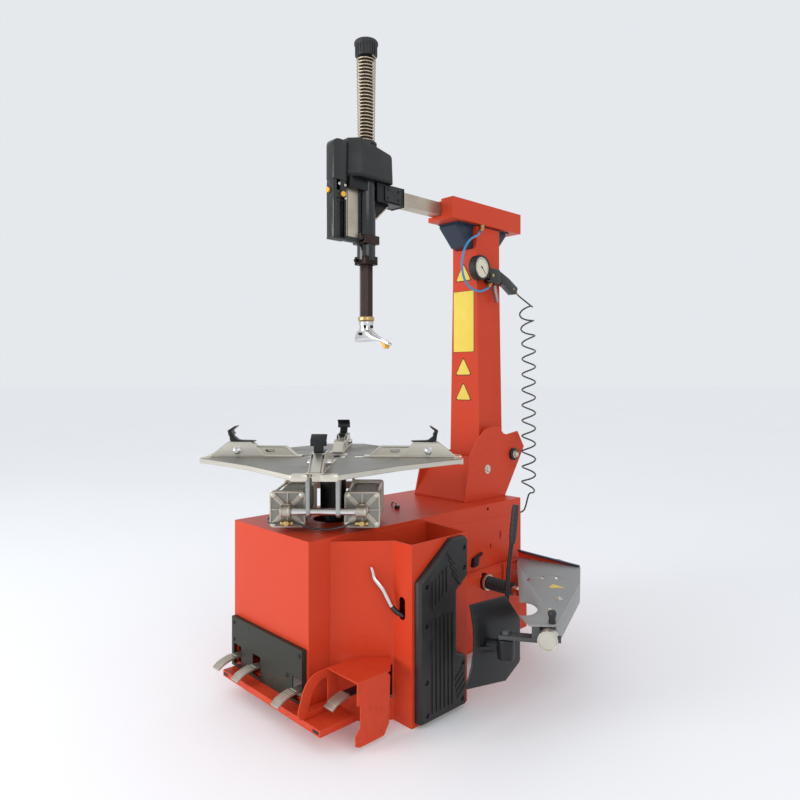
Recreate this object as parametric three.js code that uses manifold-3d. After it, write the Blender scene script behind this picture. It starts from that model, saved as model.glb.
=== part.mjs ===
// Tilt-back tyre changer: red sheet-steel cabinet, clamping turntable, tilting column with a
// sliding tool arm, and a side bead breaker. Millimetres, +Z up, +X to the operator's right,
// +Y to the rear. The origin is on the floor, under the axis of the turntable.
import * as THREE from 'three';
import { mergeVertices } from 'three/addons/utils/BufferGeometryUtils.js';
import Module from 'manifold-3d';

const wasm = await Module();
wasm.setup();

// ---------------------------------------------------------------- driving dimensions
const GAP = 0.3;                                   // between pieces that touch
const SHEET = 3;                                   // body sheet thickness
const CABINET = { half: 189, front: -230, rear: 704, bottom: 66, top: 497 };
const PAN = { left: -165, right: 308, front: -282, bottom: 48 };
const RUNNER = { x: 140, width: 44, front: -222, rear: 700 };
const COVER = { half: 180, front: -245, top: 212, bottom: 66.3 };
const PEDAL_X = [-147, -42, 158];                  // tilt, clamp, turn
const PEDAL = { width: 34, pivotY: -176, pivotZ: 104, tipY: -318 };
const SIDE_PEDAL = { x: 278, width: 36, pivotY: -92, pivotZ: 112, tipY: -236 };
const HOUSING = { angleY: -160, faceX: 300, faceY: -28, side: 370, backY: 196, cabinetY: 212,
  top: 486, tray: 350 };
const LEVER_SLOT = { x: 333, low: 291, high: 329, half: 12 };
const PAD = { thick: 24, front: -18, rear: 176, top: 482, bottom: 8 };
const GUARD = { left: 236, right: 360, roof: 172 };
const SILL = { side: 216, front: 218, top: 285, bottom: 40 };
const CHEEK = { x: 118, thick: 6 };
const CHEEK_OUTLINE = [[474, 0], [704, 0], [820, 171], [780, 231], [716, 222], [694, 227], [668, 253],
  [622, 255], [590, 246], [548, 214], [506, 158]];  // (y, height over the cabinet)
const LEFT_CHEEK = [[474, 0], [704, 0], [820, 171], [780, 215], [722, 205], [694, 152], [556, 148],
  [506, 120]];
const TILT = { y: 749, z: 645, pin: 14 };          // axis on which the column leans back
const COLUMN = { x: 18, half: 57, flare: 16, taper: 1290, front: 596, rear: 728, bottom: 520,
  top: 1477.5 };
const HEAD = { left: -28, right: 90, front: 451, rear: 842, bottom: 1482, top: 1556 };
const ARM = { x: 12, half: 22, bottom: 1499, top: 1543, front: 206, rear: 800 };
const SHAFT = { x: 12, y: 123, corner: 22, bottom: 1123, top: 1949 };
const SPRING = { radius: 31, inner: 25, bottom: 1678, top: 1948.7 };
const COVER_PLAN = [[28, 32], [60, 60], [60, 200], [-36, 200], [-36, 60], [-4, 32]];
const COVER_INSIDE = [[26.8, 35.4], [56.6, 61.4], [56.6, 196.6], [-32.6, 196.6], [-32.6, 61.4],
  [-2.8, 35.4]];
const HANDLE = { left: -4, right: 28, front: -21, bottom: 1352, top: 1656 };
const BUTTON = { radius: 8, front: [4, 1501], side: [14, 1490] };  // (x, z) and (y, z)
const TABLE = { top: 687.5, thick: 14, corner: 394, nose: 60 };
const JAW = { width: 44, inner: 95, outer: 386, slotHalf: 17 };
const CYL = { x: 104, size: 100, z: 562, front: 195, rear: -30, rod: 9 };
const YOKE = -238;                                 // rear yoke, on the line of the cylinders
const BREAKER = { x: 300, y: 668, angle: 33, top: 300, rodY: 470, rodZ: 250 };
const BLADE = { x: 505, thick: 8, pivot: [560, 128], pivotOnArm: [-76, -594.5] };
const PULLEY = { from: 146, to: 166, high: 350, low: 160, motorX: -20 };
const COIL = { radius: 28, x: 160, y: 796, split: 672 };
const GUN = { x: 96, y: 585, z: 1322 };
const HOSE_RADIUS = 4;
const AIR_HOSE = [[84, 603.6, 1456.5], [87, 586, 1440], [92, 556, 1428], [98, 526, 1410],
  [103, 500, 1384], [106, 484, 1352], [107, 478, 1318], [106, 486, 1284], [103, 508, 1258],
  [100, 540, 1243], [97, 576, 1238], [96, 606, 1242], [96, 626, 1250], [96, 639, 1257]];
const INLET = { x: 150, z: 430, end: 728 };        // where the curled hose enters the cabinet
const ROUND = 20;                                  // sides of an ordinary round part

// ---------------------------------------------------------------- finishes
const finish = (color, roughness, metalness) =>
  new THREE.MeshStandardMaterial({ color, roughness, metalness });
const RED = finish(0xe0512f, 0.4, 0);
const BLACK_STEEL = finish(0x26271f, 0.55, 0.1);
const NAVY = finish(0x27313d, 0.5, 0.1);
const ZINC = finish(0xb9b7a8, 0.35, 0.9);
const GREY_STEEL = finish(0x8d8a80, 0.45, 0.8);
const BRUSHED = finish(0xa9a394, 0.4, 0.9);
const CAST_ALUMINIUM = finish(0xb4aa9c, 0.5, 0.8);
const CHROME = finish(0xd8d6cf, 0.15, 1);
const BRASS = finish(0xc8a86a, 0.3, 1);
const RUBBER = finish(0x1c1d1e, 0.8, 0);
const BLACK_PLASTIC = finish(0x303030, 0.5, 0);
const YELLOW = finish(0xf0a818, 0.4, 0);
const BLUE = finish(0x1189c9, 0.4, 0);
const CAST_IRON = finish(0x55585a, 0.7, 0.5);
const SPRING_WIRE = finish(0xc9b795, 0.4, 0.6);

// ---------------------------------------------------------------- solids
const object = new THREE.Group();

function solid(geometry) {
  const bare = geometry.clone();
  for (const key of Object.keys(bare.attributes)) if (key !== 'position') bare.deleteAttribute(key);
  const merged = mergeVertices(bare, 1e-4);
  return new wasm.Manifold(new wasm.Mesh({
    numProp: 3,
    vertProperties: new Float32Array(merged.attributes.position.array),
    triVerts: new Uint32Array(merged.index.array),
  }));
}

const join = (...pieces) => pieces.reduce((sum, piece) => sum.add(piece));
const cut = (piece, ...tools) => tools.reduce((rest, tool) => rest.subtract(tool), piece);

function box(x0, x1, y0, y1, z0, z1) {
  const shape = new THREE.BoxGeometry(x1 - x0, y1 - y0, z1 - z0);
  return solid(shape.translate((x0 + x1) / 2, (y0 + y1) / 2, (z0 + z1) / 2));
}

// A rod from point a to point b; a second radius makes it a cone.
function rod(a, b, radius, sides = ROUND, radiusB = radius) {
  const from = new THREE.Vector3(...a);
  const along = new THREE.Vector3(...b).sub(from);
  const shape = new THREE.CylinderGeometry(radiusB, radius, along.length(), sides);
  const turn = new THREE.Quaternion().setFromUnitVectors(
    new THREE.Vector3(0, 1, 0), along.clone().normalize());
  const middle = from.addScaledVector(along, 0.5);
  return solid(shape.applyQuaternion(turn).translate(middle.x, middle.y, middle.z));
}

// Turns of the axes that stand an outline's (u, v, depth) up along X, Y or Z.
const STAND = {
  x: new THREE.Matrix4().set(0, 0, 1, 0, 1, 0, 0, 0, 0, 1, 0, 0, 0, 0, 0, 1),    // (y, z) outline
  y: new THREE.Matrix4().set(1, 0, 0, 0, 0, 0, -1, 0, 0, 1, 0, 0, 0, 0, 0, 1),   // (x, z) outline
  z: new THREE.Matrix4(),                                                       // (x, y) outline
};

// A flat plate or bar: an outline stood along an axis, from one place on it to another.
function prism(axis, outline, from, to, curveSegments = 8) {
  const shape = outline instanceof THREE.Shape ? outline
    : new THREE.Shape(outline.map(([u, v]) => new THREE.Vector2(u, v)));
  const depth = to - from;
  const plate = new THREE.ExtrudeGeometry(shape, { depth, bevelEnabled: false, curveSegments });
  plate.translate(0, 0, axis === 'y' ? -to : from);
  return solid(plate.applyMatrix4(STAND[axis]));
}

// A slot outline with round ends, standing upright.
function obround(u, low, high, half) {
  const shape = new THREE.Shape();
  shape.absarc(u, high, half, 0, Math.PI);
  shape.absarc(u, low, half, Math.PI, 2 * Math.PI);
  return shape;
}

// A tube along a smooth curve through the given points.
function tube(points, radius, sides, steps) {
  const path = new THREE.CatmullRomCurve3(points.map((p) => new THREE.Vector3(...p)));
  const section = new THREE.Shape();
  section.absarc(0, 0, radius, 0, 2 * Math.PI);
  return solid(new THREE.ExtrudeGeometry(section,
    { extrudePath: path, steps, curveSegments: sides / 2, bevelEnabled: false }));
}

// A turned piece round an upright axis: profile points are (radius, z), from axis to axis.
function turned(profile, x, y, sides = ROUND) {
  const points = profile.map(([r, z]) => new THREE.Vector2(r, z));
  const shape = new THREE.LatheGeometry(points, sides);
  return solid(shape.rotateX(Math.PI / 2).translate(x, y, 0));
}

function add(name, piece, material, group = object) {
  const { vertProperties, triVerts } = piece.getMesh();
  const geometry = new THREE.BufferGeometry();
  geometry.setAttribute('position', new THREE.BufferAttribute(vertProperties, 3));
  geometry.setIndex(new THREE.BufferAttribute(triVerts, 1));
  geometry.computeVertexNormals();
  const mesh = new THREE.Mesh(geometry, material);
  mesh.name = name;
  group.add(mesh);
}

// ---------------------------------------------------------------- base and cabinet
function baseFrame() {
  const half = CABINET.half;
  const pan = prism('z', [[PAN.left, PAN.front], [PAN.right, PAN.front], [PAN.right, -168],
    [half, -168], [half, CABINET.rear], [-half, CABINET.rear], [-half, CABINET.front],
    [PAN.left, CABINET.front]], PAN.bottom, CABINET.bottom - GAP);
  const windows = [[-215, -50], [50, 360], [400, 680]].map(
    ([y0, y1]) => box(-half + 30, half - 30, y0, y1, PAN.bottom - 1, CABINET.bottom + 1));
  const panHollow = box(PAN.left + 8, PAN.right - 8, PAN.front + 6, CABINET.front - 12,
    PAN.bottom - 1, CABINET.bottom - 6);
  const runners = [-1, 1].map((side) => box(side * RUNNER.x - RUNNER.width / 2,
    side * RUNNER.x + RUNNER.width / 2, RUNNER.front, RUNNER.rear, 0, PAN.bottom + 1));
  const cross = box(-RUNNER.x, RUNNER.x, -60, 60, 0, 8);
  return join(cut(pan, ...windows, panHollow), ...runners, cross);
}

function cabinetShell() {
  const c = CABINET;
  const outer = box(-c.half, c.half, c.front, c.rear, c.bottom, c.top);
  const inner = box(-c.half + SHEET, c.half - SHEET, c.front + SHEET, c.rear - SHEET,
    c.bottom - 1, c.top - SHEET);
  const pedalWindow = box(-168, 176, c.front - 1, c.front + SHEET + 1, 74, 138);
  const hubHole = rod([0, 0, c.top - 10], [0, 0, c.top + 10], 62);
  const rodHole = rod([c.half - 10, BREAKER.rodY, BREAKER.rodZ],
    [c.half + 10, BREAKER.rodY, BREAKER.rodZ], 27);
  const sideSlots = [[585, 382, 12, 3], [643, 390, 12, 3], [532, 353, 5, 3], [518, 481, 0.5, 5]].map(
    ([y, z, reach, half]) => prism('x', obround(y, z - reach, z + reach, half),
      c.half - 10, c.half + 10, 4));
  return cut(outer, inner, pedalWindow, hubHole, rodHole, ...sideSlots);
}

function sideSill() {
  const slope = 14;
  const outline = [[CABINET.half + GAP, SILL.bottom], [SILL.side, SILL.bottom],
    [SILL.side, SILL.top - slope], [CABINET.half + GAP, SILL.top]];
  const hollow = box(CABINET.half - 1, SILL.side - SHEET, SILL.front + SHEET,
    CABINET.rear - SHEET, SILL.bottom - 1, SILL.top - slope - SHEET);
  const rodHole = rod([CABINET.half, BREAKER.rodY, BREAKER.rodZ],
    [SILL.side + 10, BREAKER.rodY, BREAKER.rodZ], 27);
  return cut(prism('y', outline, SILL.front, CABINET.rear), hollow, rodHole);
}

function pedalCover() {
  const back = CABINET.front - GAP;
  const shell = cut(box(-COVER.half, COVER.half, COVER.front, back, COVER.bottom, COVER.top),
    box(-COVER.half + SHEET, COVER.half - SHEET, COVER.front + SHEET, back + 1,
      COVER.bottom - 1, COVER.top - SHEET));
  const slots = PEDAL_X.map((x) => box(x - 21, x + 21, COVER.front - 1, COVER.front + SHEET + 1, 74, 134));
  return cut(shell, ...slots);
}

// ---------------------------------------------------------------- pedals
// A cast pedal: curved tread plate outside, straight arm inside, boss on the pivot.
function pedalArm(x, { tipY, pivotY, pivotZ, width }) {
  const tread = new THREE.Shape();
  tread.moveTo(pivotY, pivotZ - 8);
  tread.lineTo(pivotY - 70, pivotZ - 10);
  tread.quadraticCurveTo(tipY + 30, pivotZ - 6, tipY, pivotZ - 27);
  tread.lineTo(tipY - 3, pivotZ - 19);
  tread.quadraticCurveTo(tipY + 26, pivotZ + 6, pivotY - 66, pivotZ + 4);
  tread.lineTo(pivotY, pivotZ + 8);
  const boss = rod([x - width / 2, pivotY, pivotZ], [x + width / 2, pivotY, pivotZ], 12, 16);
  return join(prism('x', tread, x - width / 2, x + width / 2, 6), boss);
}

function pedalGuard() {
  const top = GUARD.roof + SHEET;
  const left = new THREE.Shape();
  left.moveTo(-282, CABINET.bottom + GAP);
  left.quadraticCurveTo(-300, CABINET.bottom + 4, -297, 92);
  left.lineTo(-286, 128);
  left.quadraticCurveTo(-270, top, -222, top);
  left.lineTo(-176, top);
  left.lineTo(-176, CABINET.bottom + GAP);
  const opening = new THREE.Shape();
  opening.moveTo(-268, 78);
  opening.quadraticCurveTo(-258, 140, -222, 152);
  opening.quadraticCurveTo(-204, 154, -204, 138);
  opening.lineTo(-204, 88);
  opening.quadraticCurveTo(-205, 78, -216, 78);
  const roof = [[GUARD.left, -206], [GUARD.right, -206], [GUARD.right, -96], [300, -36],
    [GUARD.left, -112]];
  const right = [[-206, 150], [-206, 118], [-196, 118], [-196, 62], [-212, 44], [-212, 20], [-198, 14],
    [-118, 14], [-100, 40], [-96, top - 14], [-108, top], [-206, top]];
  const leftPlate = cut(prism('x', left, GUARD.left, GUARD.left + SHEET),
    prism('x', opening, GUARD.left - 1, GUARD.left + SHEET + 1));
  const rightPlate = prism('x', right, GUARD.right - SHEET, GUARD.right);
  return join(leftPlate, prism('z', roof, GUARD.roof, top), rightPlate);
}

// ---------------------------------------------------------------- side housing, tray, pad
function housingOutline(inset) {
  const h = HOUSING;
  const edge = CABINET.half + GAP + inset;
  return [[edge, h.angleY + inset * 2], [h.faceX + inset * 0.4, h.faceY + inset],
    [h.side - inset, h.faceY + inset], [h.side - inset, h.backY - inset], [edge, h.cabinetY - inset]];
}

function sideHousing() {
  const h = HOUSING;
  const outer = prism('z', housingOutline(0), 0, h.top);
  const pocket = prism('z', housingOutline(SHEET), h.tray, h.top + 1);
  const under = prism('z', housingOutline(SHEET), -1, h.tray - SHEET);
  const slot = prism('y', obround(LEVER_SLOT.x, LEVER_SLOT.low, LEVER_SLOT.high, LEVER_SLOT.half),
    h.faceY - 10, h.faceY + 10);
  const pedalRecess = box(258, 298, -160, -30, 60, 150);
  return cut(outer, pocket, under, slot, pedalRecess);
}

// Crow-bar tyre lever, an S in the plane of the housing face, its lower end through the slot.
function tyreLever() {
  return tube([[272, -84, 420], [276, -81, 406], [280, -79, 390], [289, -72, 376], [298, -64, 360],
    [306, -56, 338], [314, -48, 316], [323, -41, 303], [330, -33, 296], [334, -25, 292], [335, -14, 288]],
  7, 8, 26);
}

function wheelPad() {
  const p = PAD;
  const outline = [[p.front, p.bottom + 6], [p.front + 8, p.bottom], [164, p.bottom], [170, p.bottom + 6],
    [170, 146], [128, 164], [128, 336], [p.rear, 370], [p.rear, p.top - 8], [168, p.top], [112, p.top],
    [p.front, 386]];
  const x = HOUSING.side + GAP;
  return prism('x', outline, x, x + p.thick);
}

// ---------------------------------------------------------------- column
function columnBracket() {
  const floor = CABINET.top + GAP;
  const pinHole = rod([-200, TILT.y, TILT.z], [200, TILT.y, TILT.z], TILT.pin + 0.5);
  const cheeks = [[-1, LEFT_CHEEK], [1, CHEEK_OUTLINE]].map(([side, outline]) => prism('x',
    outline.map(([y, z]) => [y, z + floor]),
    side * CHEEK.x - CHEEK.thick / 2, side * CHEEK.x + CHEEK.thick / 2));
  const guard = prism('x', [[474, floor], [480, floor], [556, floor + 132], [556, floor + 150],
    [549, floor + 150], [549, floor + 134], [474, floor + 8]], -CHEEK.x, CHEEK.x);
  const foot = box(-CHEEK.x, CHEEK.x, 476, 704, floor, floor + 6);
  return cut(join(...cheeks, guard, foot), pinHole);
}

function pivotPin() {
  const end = CHEEK.x + CHEEK.thick / 2 + GAP;
  const heads = [-1, 1].map((side) => rod([side * end, TILT.y, TILT.z],
    [side * (end + 9), TILT.y, TILT.z], 22));
  return join(rod([-end, TILT.y, TILT.z], [end, TILT.y, TILT.z], TILT.pin), ...heads);
}

function columnTube() {
  const c = COLUMN;
  const wall = (inset, bottom, top) => [[-1, bottom], [1, bottom]].map(([side, z]) =>
    [c.x + side * (c.half + c.flare - inset), z]).concat([[1, c.taper], [1, top], [-1, top],
    [-1, c.taper]].map(([side, z]) => [c.x + side * (c.half - inset), z]));
  const post = prism('y', wall(0, c.bottom, c.top), c.front, c.rear);
  const hollow = prism('y', wall(5, c.bottom - 1, c.top - 6), c.front + 5, c.rear - 5);
  const lug = prism('x', [[c.rear - 2, 596], [TILT.y + 12, 618], [TILT.y + 26, TILT.z],
    [TILT.y + 12, 672], [c.rear - 2, 700]], c.x - c.half, c.x + c.half);
  const pinHole = rod([-200, TILT.y, TILT.z], [200, TILT.y, TILT.z], TILT.pin + 0.5);
  return cut(join(cut(post, hollow), lug), pinHole);
}

function columnHead() {
  const h = HEAD;
  const clear = 0.8;
  const channel = box(ARM.x - ARM.half - clear, ARM.x + ARM.half + clear, h.front - 1, h.rear + 1,
    ARM.bottom - clear, ARM.top + clear);
  const notch = box(h.left - 1, ARM.x + ARM.half + clear, h.front - 1, h.front + 22,
    ARM.bottom - clear, h.top + 1);
  return cut(box(h.left, h.right, h.front, h.rear, h.bottom, h.top), channel, notch);
}

function headGussets() {
  const c = COLUMN;
  const top = HEAD.bottom - GAP;
  const plate = box(HEAD.left + 4, c.x + c.half - 4, 500, 792, c.top + GAP, top);
  const front = prism('x', [[504, top], [500, top - 12], [566, top - 78], [c.front - GAP, top - 84],
    [c.front - GAP, top]], HEAD.left + 8, c.x + 40);
  const rear = prism('x', [[c.rear + GAP, top], [c.rear + GAP, top - 62], [748, top - 58], [788, top - 14],
    [788, top]], c.x - 30, c.x + 40);
  return join(plate, front, rear);
}

// ---------------------------------------------------------------- arm and tool head
function armBar() {
  const a = ARM;
  return box(a.x - a.half, a.x + a.half, a.front, a.rear, a.bottom, a.top);
}

// Guide casting: two round guide stretches, square clamp blocks and the socket of the arm.
function headBlock() {
  const { x, y } = SHAFT;
  const sleeve = rod([x, y, 1300], [x, y, 1646], 30, 24);
  const lower = box(x - 27, x + 27, y - 27, y + 27, 1287, 1313);
  const upper = box(x - 32, x + 32, y - 40, y + 32, 1352, 1378);
  const socket = cut(box(x - 30, x + 30, y, 262, ARM.bottom - 8, ARM.top + 8),
    box(x - ARM.half - GAP, x + ARM.half + GAP, ARM.front - GAP, 300, ARM.bottom - GAP, ARM.top + GAP));
  const web = prism('x', [[y + 20, 1440], [y + 34, 1440], [y + 84, ARM.bottom - 6], [y + 20, ARM.bottom - 6]],
    x - 10, x + 10);
  const stem = box(x - 9, x + 9, 48, y - 20, 1374, 1510);
  const bore = rod([x, y, 1200], [x, y, 1800], 23.2, 24);
  return cut(join(sleeve, lower, upper, socket, web, stem), bore);
}

// A hollow hood over the guide, its top sloping down behind.
function topCover() {
  const above = (outline) => prism('x', outline, -60, 80);
  const slope = above([[0, 1670], [150, 1668], [201, 1636], [201, 1720], [0, 1720]]);
  const innerSlope = above([[0, 1666], [148, 1664], [201, 1630], [201, 1720], [0, 1720]]);
  const outer = cut(prism('z', COVER_PLAN, HEAD.top, 1720), slope);
  const inner = cut(prism('z', COVER_INSIDE, HEAD.top - 16, 1720), innerSlope);
  const shaftHole = rod([SHAFT.x, SHAFT.y, 1600], [SHAFT.x, SHAFT.y, 1800], 23.2, 24);
  return cut(outer, inner, shaftHole);
}

function controlHandle() {
  const { left, right, front, bottom, top } = HANDLE;
  const [buttonX, buttonZ] = BUTTON.front;
  const [sideY, sideZ] = BUTTON.side;
  const bore = BUTTON.radius + 0.6;
  const grip = prism('x', [[front, bottom + 8], [front + 5, bottom], [30, bottom], [30, top - 8],
    [22, top], [front + 13, top], [front, top - 12]], left, right);
  const stay = box(0, 24, 28, 82, bottom, bottom + 16);
  return cut(join(grip, stay), rod([buttonX, front - 9, buttonZ], [buttonX, -8, buttonZ], bore, 16),
    rod([16, sideY, sideZ], [right + 12, sideY, sideZ], bore, 16));
}

function lockButtons() {
  const [buttonX, buttonZ] = BUTTON.front;
  const [sideY, sideZ] = BUTTON.side;
  const { front, right } = HANDLE;
  add('lock_button_front', rod([buttonX, front - 6, buttonZ], [buttonX, front + 8, buttonZ],
    BUTTON.radius, 16), YELLOW);
  add('lock_button_side', rod([right - 7, sideY, sideZ], [right + 6, sideY, sideZ],
    BUTTON.radius, 16), YELLOW);
}

function hexShaft() {
  const { x, y, corner, bottom, top } = SHAFT;
  return rod([x, y, bottom], [x, y, top], corner, 6);
}

function shaftCap() {
  const z = SHAFT.top + GAP;
  return turned([[0, z], [34, z], [35, z + 34], [39, z + 39], [38, z + 46], [20, z + 51], [0, z + 52]],
    SHAFT.x, SHAFT.y, 24);
}

function returnSpring() {
  const s = SPRING;
  return cut(rod([SHAFT.x, SHAFT.y, s.bottom], [SHAFT.x, SHAFT.y, s.top], s.radius, 24),
    rod([SHAFT.x, SHAFT.y, s.bottom - 1], [SHAFT.x, SHAFT.y, s.top + 1], s.inner, 24));
}

// Mounting tool: collar, neck and the curved wing that guides the bead.
function mountHead() {
  const { x, y } = SHAFT;
  const top = SHAFT.bottom - GAP;
  const collar = turned([[0, top - 46], [25, top - 46], [25, top - 30], [22, top - 20], [27, top - 14],
    [26, top], [0, top]], x, y, 16);
  const wing = new THREE.Shape();
  wing.moveTo(x - 40, 1046);
  wing.quadraticCurveTo(x + 30, 1050, x + 108, 1034);
  wing.lineTo(x + 116, 1042);
  wing.quadraticCurveTo(x + 60, 1058, x + 24, 1086);
  wing.lineTo(x - 20, 1088);
  wing.quadraticCurveTo(x - 26, 1060, x - 40, 1052);
  return join(collar, prism('y', wing, y - 18, y + 18, 8));
}

// ---------------------------------------------------------------- turntable
const table = new THREE.Group();
table.rotation.z = Math.PI / 4;
object.add(table);

// In the group's own frame the four corners, with their jaws, lie on the X and Y axes.
function tablePlate() {
  const { corner, nose, top, thick } = TABLE;
  const outline = [];
  for (let quarter = 0; quarter < 4; quarter += 1) {
    const turn = new THREE.Vector2(Math.cos(quarter * Math.PI / 2), Math.sin(quarter * Math.PI / 2));
    const point = (u, v) => [u * turn.x - v * turn.y, u * turn.y + v * turn.x];
    outline.push(point(corner, -nose), point(corner, nose), point(215, 215));
  }
  const slots = [0, 1].map((way) => (way
    ? box(-JAW.slotHalf, JAW.slotHalf, -corner - 1, corner + 1, top - 100, top + 100)
    : box(-corner - 1, corner + 1, -JAW.slotHalf, JAW.slotHalf, top - 100, top + 100)));
  const centre = rod([0, 0, top - 60], [0, 0, top + 60], 66);
  const plate = cut(prism('z', outline, top - thick, top), ...slots.map((slot) => cut(slot, centre)));
  const ribs = [1, -1].flatMap((side) => [
    box(-230, 230, side * 40 - 4, side * 40 + 4, top - thick - 12, top - thick + 1),
    box(side * 40 - 4, side * 40 + 4, -230, 230, top - thick - 12, top - thick + 1)]);
  return join(plate, ...ribs.map((rib) => cut(rib, ...slots)));
}

function spindleHub() {
  const z = TABLE.top - TABLE.thick - 12 - GAP;
  return turned([[0, 430], [26, 430], [26, 508], [40, 508], [40, z - 14], [60, z - 14], [60, z],
    [0, z]], 0, 0, 24);
}

// One clamp: sheet slide with sloping ends, taller bracket and the bolt through it, along +X.
function jawSlide() {
  const z = TABLE.top + GAP;
  const w = JAW.width / 2;
  const body = prism('y', [[JAW.inner, z], [372, z], [322, z + 31], [140, z + 31]], -w + 6, w - 6);
  const base = box(JAW.inner, JAW.outer, -w, w, z, z + 3);
  const bracket = prism('y', [[205, z], [372, z], [322, z + 45], [250, z + 45]], -w + 2, w - 2);
  const bolt = rod([292, -w - 6, z + 18], [292, w + 6, z + 18], 8, 12);
  const keel = box(150, 330, -JAW.slotHalf + 2, JAW.slotHalf - 2, z - 27, z + 1);
  return join(body, base, bracket, bolt, keel);
}

function jawClaw() {
  const z = TABLE.top + GAP + 45 + GAP;
  return prism('y', [[236, z + 10], [250, z + 10], [300, z + 38], [288, z + 52], [296, z + 52],
    [312, z + 40], [262, z + 10], [262, z], [236, z]], -21, 21);
}

// The two cylinders hang from the cross shaft of the front jaw; their rods end at the rear yoke.
function crossShaft() {
  const top = TABLE.top - TABLE.thick - 13;
  const y = CYL.front + 26;
  const bar = rod([-CYL.x - 8, y, CYL.z], [CYL.x + 8, y, CYL.z], 9.5);
  const plates = [-41, 41].map((x) => box(x - 4, x + 4, y - 22, y + 18, CYL.z - 16, top));
  const bridge = box(-45, 45, y - 22, y + 18, top - 6, top);
  return join(bar, ...plates, bridge);
}

function clampCylinder(side) {
  const x = side * CYL.x;
  const half = CYL.size / 2;
  const cover = box(x - half, x + half, CYL.front - 22, CYL.front, CYL.z - half, CYL.z + half);
  const barrel = rod([x, CYL.front - 20, CYL.z], [x, CYL.rear + 14, CYL.z], half - 4, 24);
  const endCap = box(x - half, x + half, CYL.rear, CYL.rear + 20, CYL.z - half, CYL.z + half);
  const lug = rod([x - 14, CYL.front + 26, CYL.z], [x + 14, CYL.front + 26, CYL.z], 15, 16);
  const lugFoot = box(x - 14, x + 14, CYL.front - 2, CYL.front + 20, CYL.z - 15, CYL.z + 15);
  const bore = rod([x, CYL.rear - 1, CYL.z], [x, CYL.front - 10, CYL.z], CYL.rod + 1.5, 16);
  const shaftHole = rod([x - 40, CYL.front + 26, CYL.z], [x + 40, CYL.front + 26, CYL.z], 9.5 + GAP);
  return cut(join(cover, barrel, endCap, lug, lugFoot), bore, shaftHole);
}

function rearYoke() {
  const top = TABLE.top - TABLE.thick - 13;
  const bar = box(-CYL.x - 14, CYL.x + 14, YOKE - 10, YOKE + 10, CYL.z - 12, CYL.z + 12);
  const rods = [-1, 1].map((side) => rod([side * CYL.x, YOKE, CYL.z],
    [side * CYL.x, CYL.rear + 12, CYL.z], CYL.rod, 16));
  const plates = [-41, 41].map((x) => box(x - 4, x + 4, YOKE - 20, YOKE + 12, CYL.z - 12, top));
  const bridge = box(-45, 45, YOKE - 20, YOKE + 12, top - 6, top);
  return join(bar, ...rods, ...plates, bridge);
}

// ---------------------------------------------------------------- drive, inside the cabinet
function gearbox() {
  const block = box(-95, 95, -95, 95, 300, 408);
  const neck = rod([0, 0, 400], [0, 0, 426], 62);
  const input = rod([0, 90, PULLEY.high], [0, PULLEY.from - GAP, PULLEY.high], 14, 16);
  const legs = [-1, 1].map((side) => box(side * 128 - 34, side * 128 + 34, -60, 60, CABINET.bottom, 310));
  return join(block, neck, input, ...legs);
}

function electricMotor() {
  const { motorX: x, low: z } = PULLEY;
  const body = rod([x, 190, z], [x, 350, z], 75, 24);
  const foot = box(x - 70, x + 70, 210, 340, CABINET.bottom, 120);
  const shaft = rod([x, PULLEY.to + GAP, z], [x, 192, z], 11, 16);
  return join(body, foot, shaft);
}

const pulley = (x, z, radius) => rod([x, PULLEY.from, z], [x, PULLEY.to, z], radius, 24);

function driveBelt() {
  const { high, low, motorX } = PULLEY;
  const at = (x, z, radius) => rod([x, 152, z], [x, 162, z], radius, 24);
  const [big, small, thick] = [56, 31, 7];
  const outside = join(at(0, high, big + thick), at(motorX, low, small + thick),
    prism('y', [[-big - thick, high + 2], [motorX - small - thick, low - 2],
      [motorX + small + thick, low - 2], [big + thick, high + 2]], 152, 162));
  const inside = prism('y', [[-big + 1, high + 2], [motorX - small + 1, low - 2],
    [motorX + small - 1, low - 2], [big - 1, high + 2]], 140, 170);
  return cut(outside, pulley(0, high, big), pulley(motorX, low, small), inside);
}

function breakerCylinder() {
  const { rodY, rodZ } = BREAKER;
  const barrel = rod([-150, rodY, rodZ], [120, rodY, rodZ], 92, 24);
  const inside = rod([-142, rodY, rodZ], [112, rodY, rodZ], 84, 24);
  const rodHole = rod([100, rodY, rodZ], [130, rodY, rodZ], 17, 16);
  const cradle = box(-110, 90, rodY - 40, rodY + 40, CABINET.bottom, rodZ - 40);
  return cut(join(barrel, cradle), inside, rodHole);
}

function breakerRod() {
  const { rodY, rodZ } = BREAKER;
  const bar = rod([0, rodY, rodZ], [372, rodY, rodZ], 14, 16);
  const boot = rod([228, rodY, rodZ], [330, rodY, rodZ], 22, 16);
  const collar = rod([222, rodY, rodZ], [232, rodY, rodZ], 26, 20);
  return join(bar, boot, collar);
}

// ---------------------------------------------------------------- bead breaker
const breaker = new THREE.Group();
breaker.position.set(BREAKER.x, BREAKER.y, 0);
breaker.rotation.z = THREE.MathUtils.degToRad(BREAKER.angle);
object.add(breaker);

function breakerBracket() {
  const { x, y, top } = BREAKER;
  const inner = SILL.side + GAP;
  const plates = [[top - 96, top - 84], [top - 26, top - 14]].map(([low, high]) => cut(prism('z',
    [[inner, 560], [x + 18, y - 30], [x + 30, y], [x + 18, y + 26], [inner, 702]], low, high),
  rod([x, y, low - 1], [x, y, high + 1], 12.5, 16)));
  const wall = box(inner, inner + 8, 560, 702, top - 110, top - 8);
  return join(wall, ...plates);
}

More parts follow.
